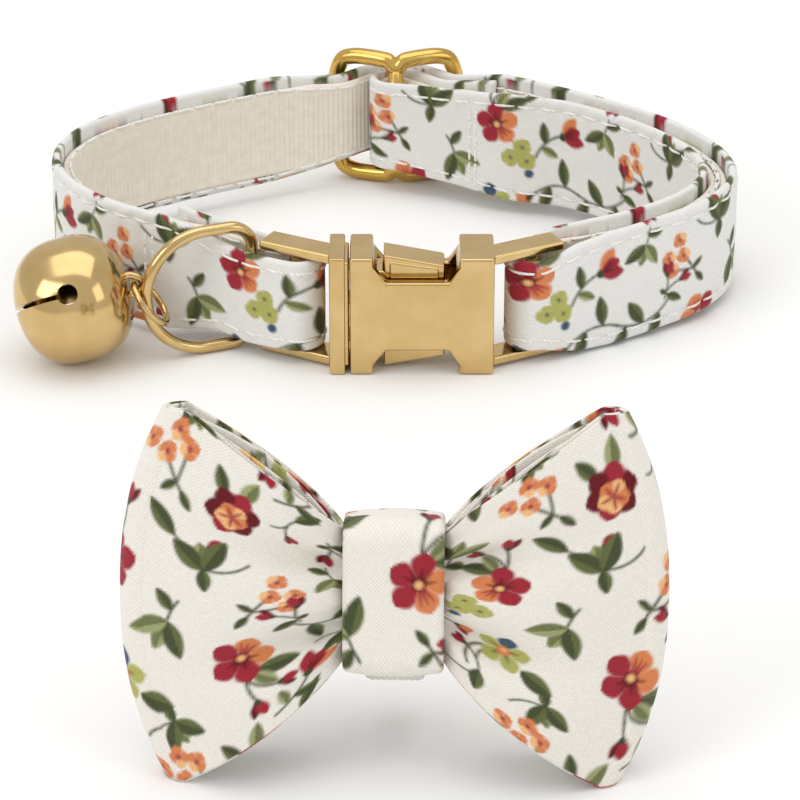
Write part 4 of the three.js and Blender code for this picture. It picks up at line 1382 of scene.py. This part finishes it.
def buckle_plug():
    half_depth = 2.1
    arm_top = 13.0
    arm_foot = 11.6
    head_left = -2.0
    head_right = 5.4
    head_high = 15.1
    head_low = 13.7
    tongue_end = 4.5
    tongue_half = 1.0
    root = PLUG_FACE - 0.6
    step_end = SOCKET_LEFT - 0.12
    step_inset = 0.8
    step_half_depth = 3.2
    panel = [(-1.3, 11.95), (4.7, 11.95), (4.7, 13.4), (-1.3, 14.3)]
    panel_front = -half_depth - 0.18
    panel_back = -half_depth + 0.3
    upper = [
        (root, arm_foot),
        (head_right, arm_foot),
        (head_right, head_low),
        (head_left, head_high),
        (head_left, arm_top),
        (root, arm_top),
    ]
    base = box_outline(PLUG_LEFT, PLUG_FACE, 0, BUCKLE_HEIGHT)
    step = box_outline(root, step_end, step_inset, BUCKLE_HEIGHT - step_inset)
    tongue = box_outline(root, tongue_end, BUCKLE_MIDDLE - tongue_half, BUCKLE_MIDDLE + tongue_half)
    prongs = (upper, turned_over(upper), tongue)
    shells = [
        prism_shell(base, -BUCKLE_HALF_DEPTH, BUCKLE_HALF_DEPTH),
        prism_shell(step, -step_half_depth, step_half_depth),
        prism_shell(panel, panel_front, panel_back),
        *(prism_shell(prong, -half_depth, half_depth) for prong in prongs),
        *tail_shells(PLUG_BAR, PLUG_LEFT + TAIL_ROOT, PLUG_TAIL_END),
    ]
    piece = join_shells("buckle_plug_gold", shells)
    round_edges(piece, PLUG_EDGE)
    dress(piece, GOLD, "collar", "pale_gold", "buckle_plug")


# Slider, rings and bell

def slider():
    top = SLIDER_HALF_HEIGHT - SLIDER_WIRE
    edge = []
    for across in np.linspace(-1, 1, SLIDER_STEPS + 1):
        in_lobe = abs(2 * abs(across) - 1)
        lobe = (1 - in_lobe ** SLIDER_SQUARENESS) ** (1 / SLIDER_SQUARENESS)
        foot = top - SLIDER_DIP if abs(across) < 0.5 else SLIDER_SHOULDER
        inset = SLIDER_INSET * (1 - abs(across))
        edge.append((SLIDER_HALF_WIDTH * across, -inset, foot + (top - foot) * lobe))
    loop = np.array(edge + [(x, y, -z) for x, y, z in reversed(edge)])
    around = np.vstack([loop[-2:], loop, loop[:3]])
    frame_path = spline(around, np.linspace(2, len(loop) + 2, SLIDER_SAMPLES))
    bar_end = top - SLIDER_DIP
    bar_path = np.array([(0, -SLIDER_INSET, -bar_end), (0, -SLIDER_INSET, bar_end)])
    middle = np.array([SLIDER_MIDDLE[0], SLIDER_MIDDLE[1], SLIDER_HALF_HEIGHT])
    paths = (frame_path + middle, bar_path + middle)
    shells = [tube_shell(path, SLIDER_WIRE, (0, 1, 0), sides=22) for path in paths]
    piece = join_shells("slider_brass", shells)
    dress(piece, BRASS, "collar", "yellow_brass", "slider")


def d_ring():
    mid = RING_HALF_HEIGHT - RING_WIRE
    run = RING_DEPTH - 2 * RING_WIRE - mid
    path = []

    def arc(x, z, radius, start, end, steps):
        for angle in np.radians(np.linspace(start, end, steps)):
            path.append((x + radius * math.cos(angle), 0.0, z + radius * math.sin(angle)))

    arc(RING_CORNER, mid - RING_CORNER, RING_CORNER, 180, 90, 14)
    arc(run, 0, mid, 90, -90, 90)
    arc(RING_CORNER, RING_CORNER - mid, RING_CORNER, -90, -180, 14)
    path.append(path[0])
    middle = np.array([RING_BAR[0], RING_BAR[1], RING_HALF_HEIGHT + FLOOR_GAP])
    spin = turn_z(RING_REST)
    route = np.array(path) @ spin.T + middle
    piece = mesh_object("d_ring_gold", *tube_shell(route, RING_WIRE, spin @ (0, 1, 0), sides=20))
    dress(piece, GOLD, "bell_drop", "pale_gold", "d_ring")


def jump_ring():
    """Hangs down from the bell's staple at a slant."""
    angle = np.linspace(0, 2 * math.pi, JUMP_SAMPLES)
    circle = np.column_stack([1 + np.cos(angle), np.sin(angle), np.zeros(len(angle))]) * JUMP_RADIUS
    spin = turn_y(JUMP_TILT)
    staple = turn_y(-BELL_TILT) @ np.array([JUMP_PLACE, 0, 0]) + BELL_CENTRE
    route = circle @ spin.T + staple
    piece = mesh_object("jump_ring_gold", *tube_shell(route, JUMP_WIRE, spin @ (0, 0, 1), sides=14))
    dress(piece, GOLD, "bell_drop", "pale_gold", "jump_ring")


def bell_ball(radius, half_length, steps, turns):
    """A barrel-like ball of revolution about Y, as points and faces."""
    angle = np.linspace(-math.pi / 2, math.pi / 2, steps + 1)[1:-1]
    out = radius * np.cos(angle) ** BELL_SQUARENESS
    along = half_length * np.sign(angle) * np.abs(np.sin(angle)) ** BELL_SQUARENESS
    spin = np.linspace(0, 2 * math.pi, turns, endpoint=False)
    x = out[:, None] * np.cos(spin)
    z = out[:, None] * np.sin(spin)
    y = np.broadcast_to(along[:, None], x.shape)
    points = np.stack([x, y, z], axis=-1).reshape(-1, 3)
    rows = len(angle)
    last = (rows - 1) * turns
    faces = loft_faces(rows, turns, False)[:-2]
    points = np.vstack([points, [(0, -half_length, 0), (0, half_length, 0)]])
    for side in range(turns):
        other = (side + 1) % turns
        faces.append([side, other, rows * turns])
        faces.append([last + side, last + other, rows * turns + 1])
    return points, faces


def bell():
    turn = turn_y(math.pi / 2 - BELL_TILT) @ turn_x(math.pi / 2)
    slit_turn = turn @ turn_y(BELL_SLIT_TURN)
    long = 2 * BELL_RADIUS
    slit_top = -BELL_HALF_LENGTH * math.cos(BELL_HOLE_ANGLE)
    hole_path = [(-long, slit_top, 0), (long, slit_top, 0)]
    tools = [
        bell_ball(BELL_RADIUS, BELL_HALF_LENGTH, steps=56, turns=96),
        bell_ball(BELL_RADIUS - BELL_WALL, BELL_HALF_LENGTH - BELL_WALL, steps=40, turns=72),
        prism_shell(box_outline(-long, long, -BELL_SLIT / 2, BELL_SLIT / 2), -long, slit_top),
        tube_shell(hole_path, BELL_HOLE_RADIUS, (0, 1, 0), sides=36),
    ]
    shell, *cutters = [
        mesh_object("bell_cut", np.array(points) @ slit_turn.T + BELL_CENTRE, faces)
        for points, faces in tools
    ]
    cut_away(shell, *cutters)
    foot = BELL_HALF_LENGTH - BELL_WALL / 2
    posts = [
        (-STAPLE_RADIUS, foot, 0),
        (-STAPLE_RADIUS, foot + STAPLE_LEGS, 0),
        (0, foot + STAPLE_LEGS + STAPLE_RADIUS, 0),
        (STAPLE_RADIUS, foot + STAPLE_LEGS, 0),
        (STAPLE_RADIUS, foot, 0),
    ]
    arch = spline(posts, np.linspace(0, len(posts) - 1, STAPLE_SAMPLES)) @ turn.T + BELL_CENTRE
    staple = tube_shell(arch, STAPLE_WIRE, turn @ (0, 0, 1), sides=14)
    piece = join_shells("bell_gold", [take_shell(shell), staple])
    round_edges(piece, BELL_EDGE, segments=2)
    dress(piece, GOLD, "bell_drop", "pale_gold", "bell_shell")
    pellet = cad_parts["bell_pellet"]
    pellet.data.materials.clear()
    pellet.data.materials.append(GOLD)


# Studio, in metres but for the camera's place

CAMERA_LOCAL = (-0.02, -384.75, 185.25)
CAMERA_PITCH = math.radians(26.36)
CAMERA_LENS = 155.9
CAMERA_SENSOR = 36.0
CAMERA_CLIP = 0.01
FLOOR_SIDE = 3.0
FLOOR_LEVEL = -0.05 * MM
LIGHT_AIM = (0.0, 0.0, 0.015)
# Name, place, size and power of each softbox
SOFTBOXES = [
    ("overhead", (0.0, 0.05, 0.75), (0.9, 0.7), 2.2),
    ("key", (-0.55, -0.45, 0.5), (0.4, 0.4), 1.2),
    ("fill", (0.6, -0.35, 0.35), (0.35, 0.35), 0.4),
]


def camera():
    data = bpy.data.cameras.new("camera")
    data.sensor_width = CAMERA_SENSOR
    data.lens = CAMERA_LENS
    data.clip_start = CAMERA_CLIP
    eye = bpy.data.objects.new("camera", data)
    eye.location = (np.array(CAMERA_LOCAL) + SHIFT) * MM
    eye.rotation_euler = (math.pi / 2 - CAMERA_PITCH, 0, 0)
    bpy.context.scene.collection.objects.link(eye)
    bpy.context.scene.camera = eye


def softbox(name, place, size, power):
    data = bpy.data.lights.new(name, "AREA")
    data.shape = "RECTANGLE"
    data.size, data.size_y = size
    data.energy = power
    lamp = bpy.data.objects.new(name, data)
    lamp.location = place
    lamp.rotation_euler = (Vector(LIGHT_AIM) - Vector(place)).to_track_quat("-Z", "Y").to_euler()
    bpy.context.scene.collection.objects.link(lamp)


def studio():
    mesh = bpy.data.meshes.new("floor")
    outline = box_outline(-FLOOR_SIDE, FLOOR_SIDE, -FLOOR_SIDE, FLOOR_SIDE)
    mesh.from_pydata([(x, y, FLOOR_LEVEL) for x, y in outline], [], [[0, 1, 2, 3]])
    floor = bpy.data.objects.new("floor", mesh)
    bpy.context.scene.collection.objects.link(floor)
    paper = Look("white paper")
    paper.fill(paper.shader, {
        "Base Color": (0.95, 0.95, 0.95, 1),
        "Roughness": 0.9,
        "Specular IOR Level": 0.1,
    })
    mesh.materials.append(paper.material)
    for values in SOFTBOXES:
        softbox(*values)
    world = bpy.data.worlds.new("studio")
    world.use_nodes = True
    backdrop = world.node_tree.nodes["Background"]
    backdrop.inputs["Color"].default_value = (1.0, 0.99, 0.97, 1)
    backdrop.inputs["Strength"].default_value = 0.72
    bpy.context.scene.world = world
    bpy.context.scene.view_settings.view_transform = "Standard"


camera()
studio()
strap_cover()
strap_webbing()
stitches()
bow_body()
bow_knot()
bow_elastic()
buckle_socket()
buckle_plug()
slider()
d_ring()
jump_ring()
bell()
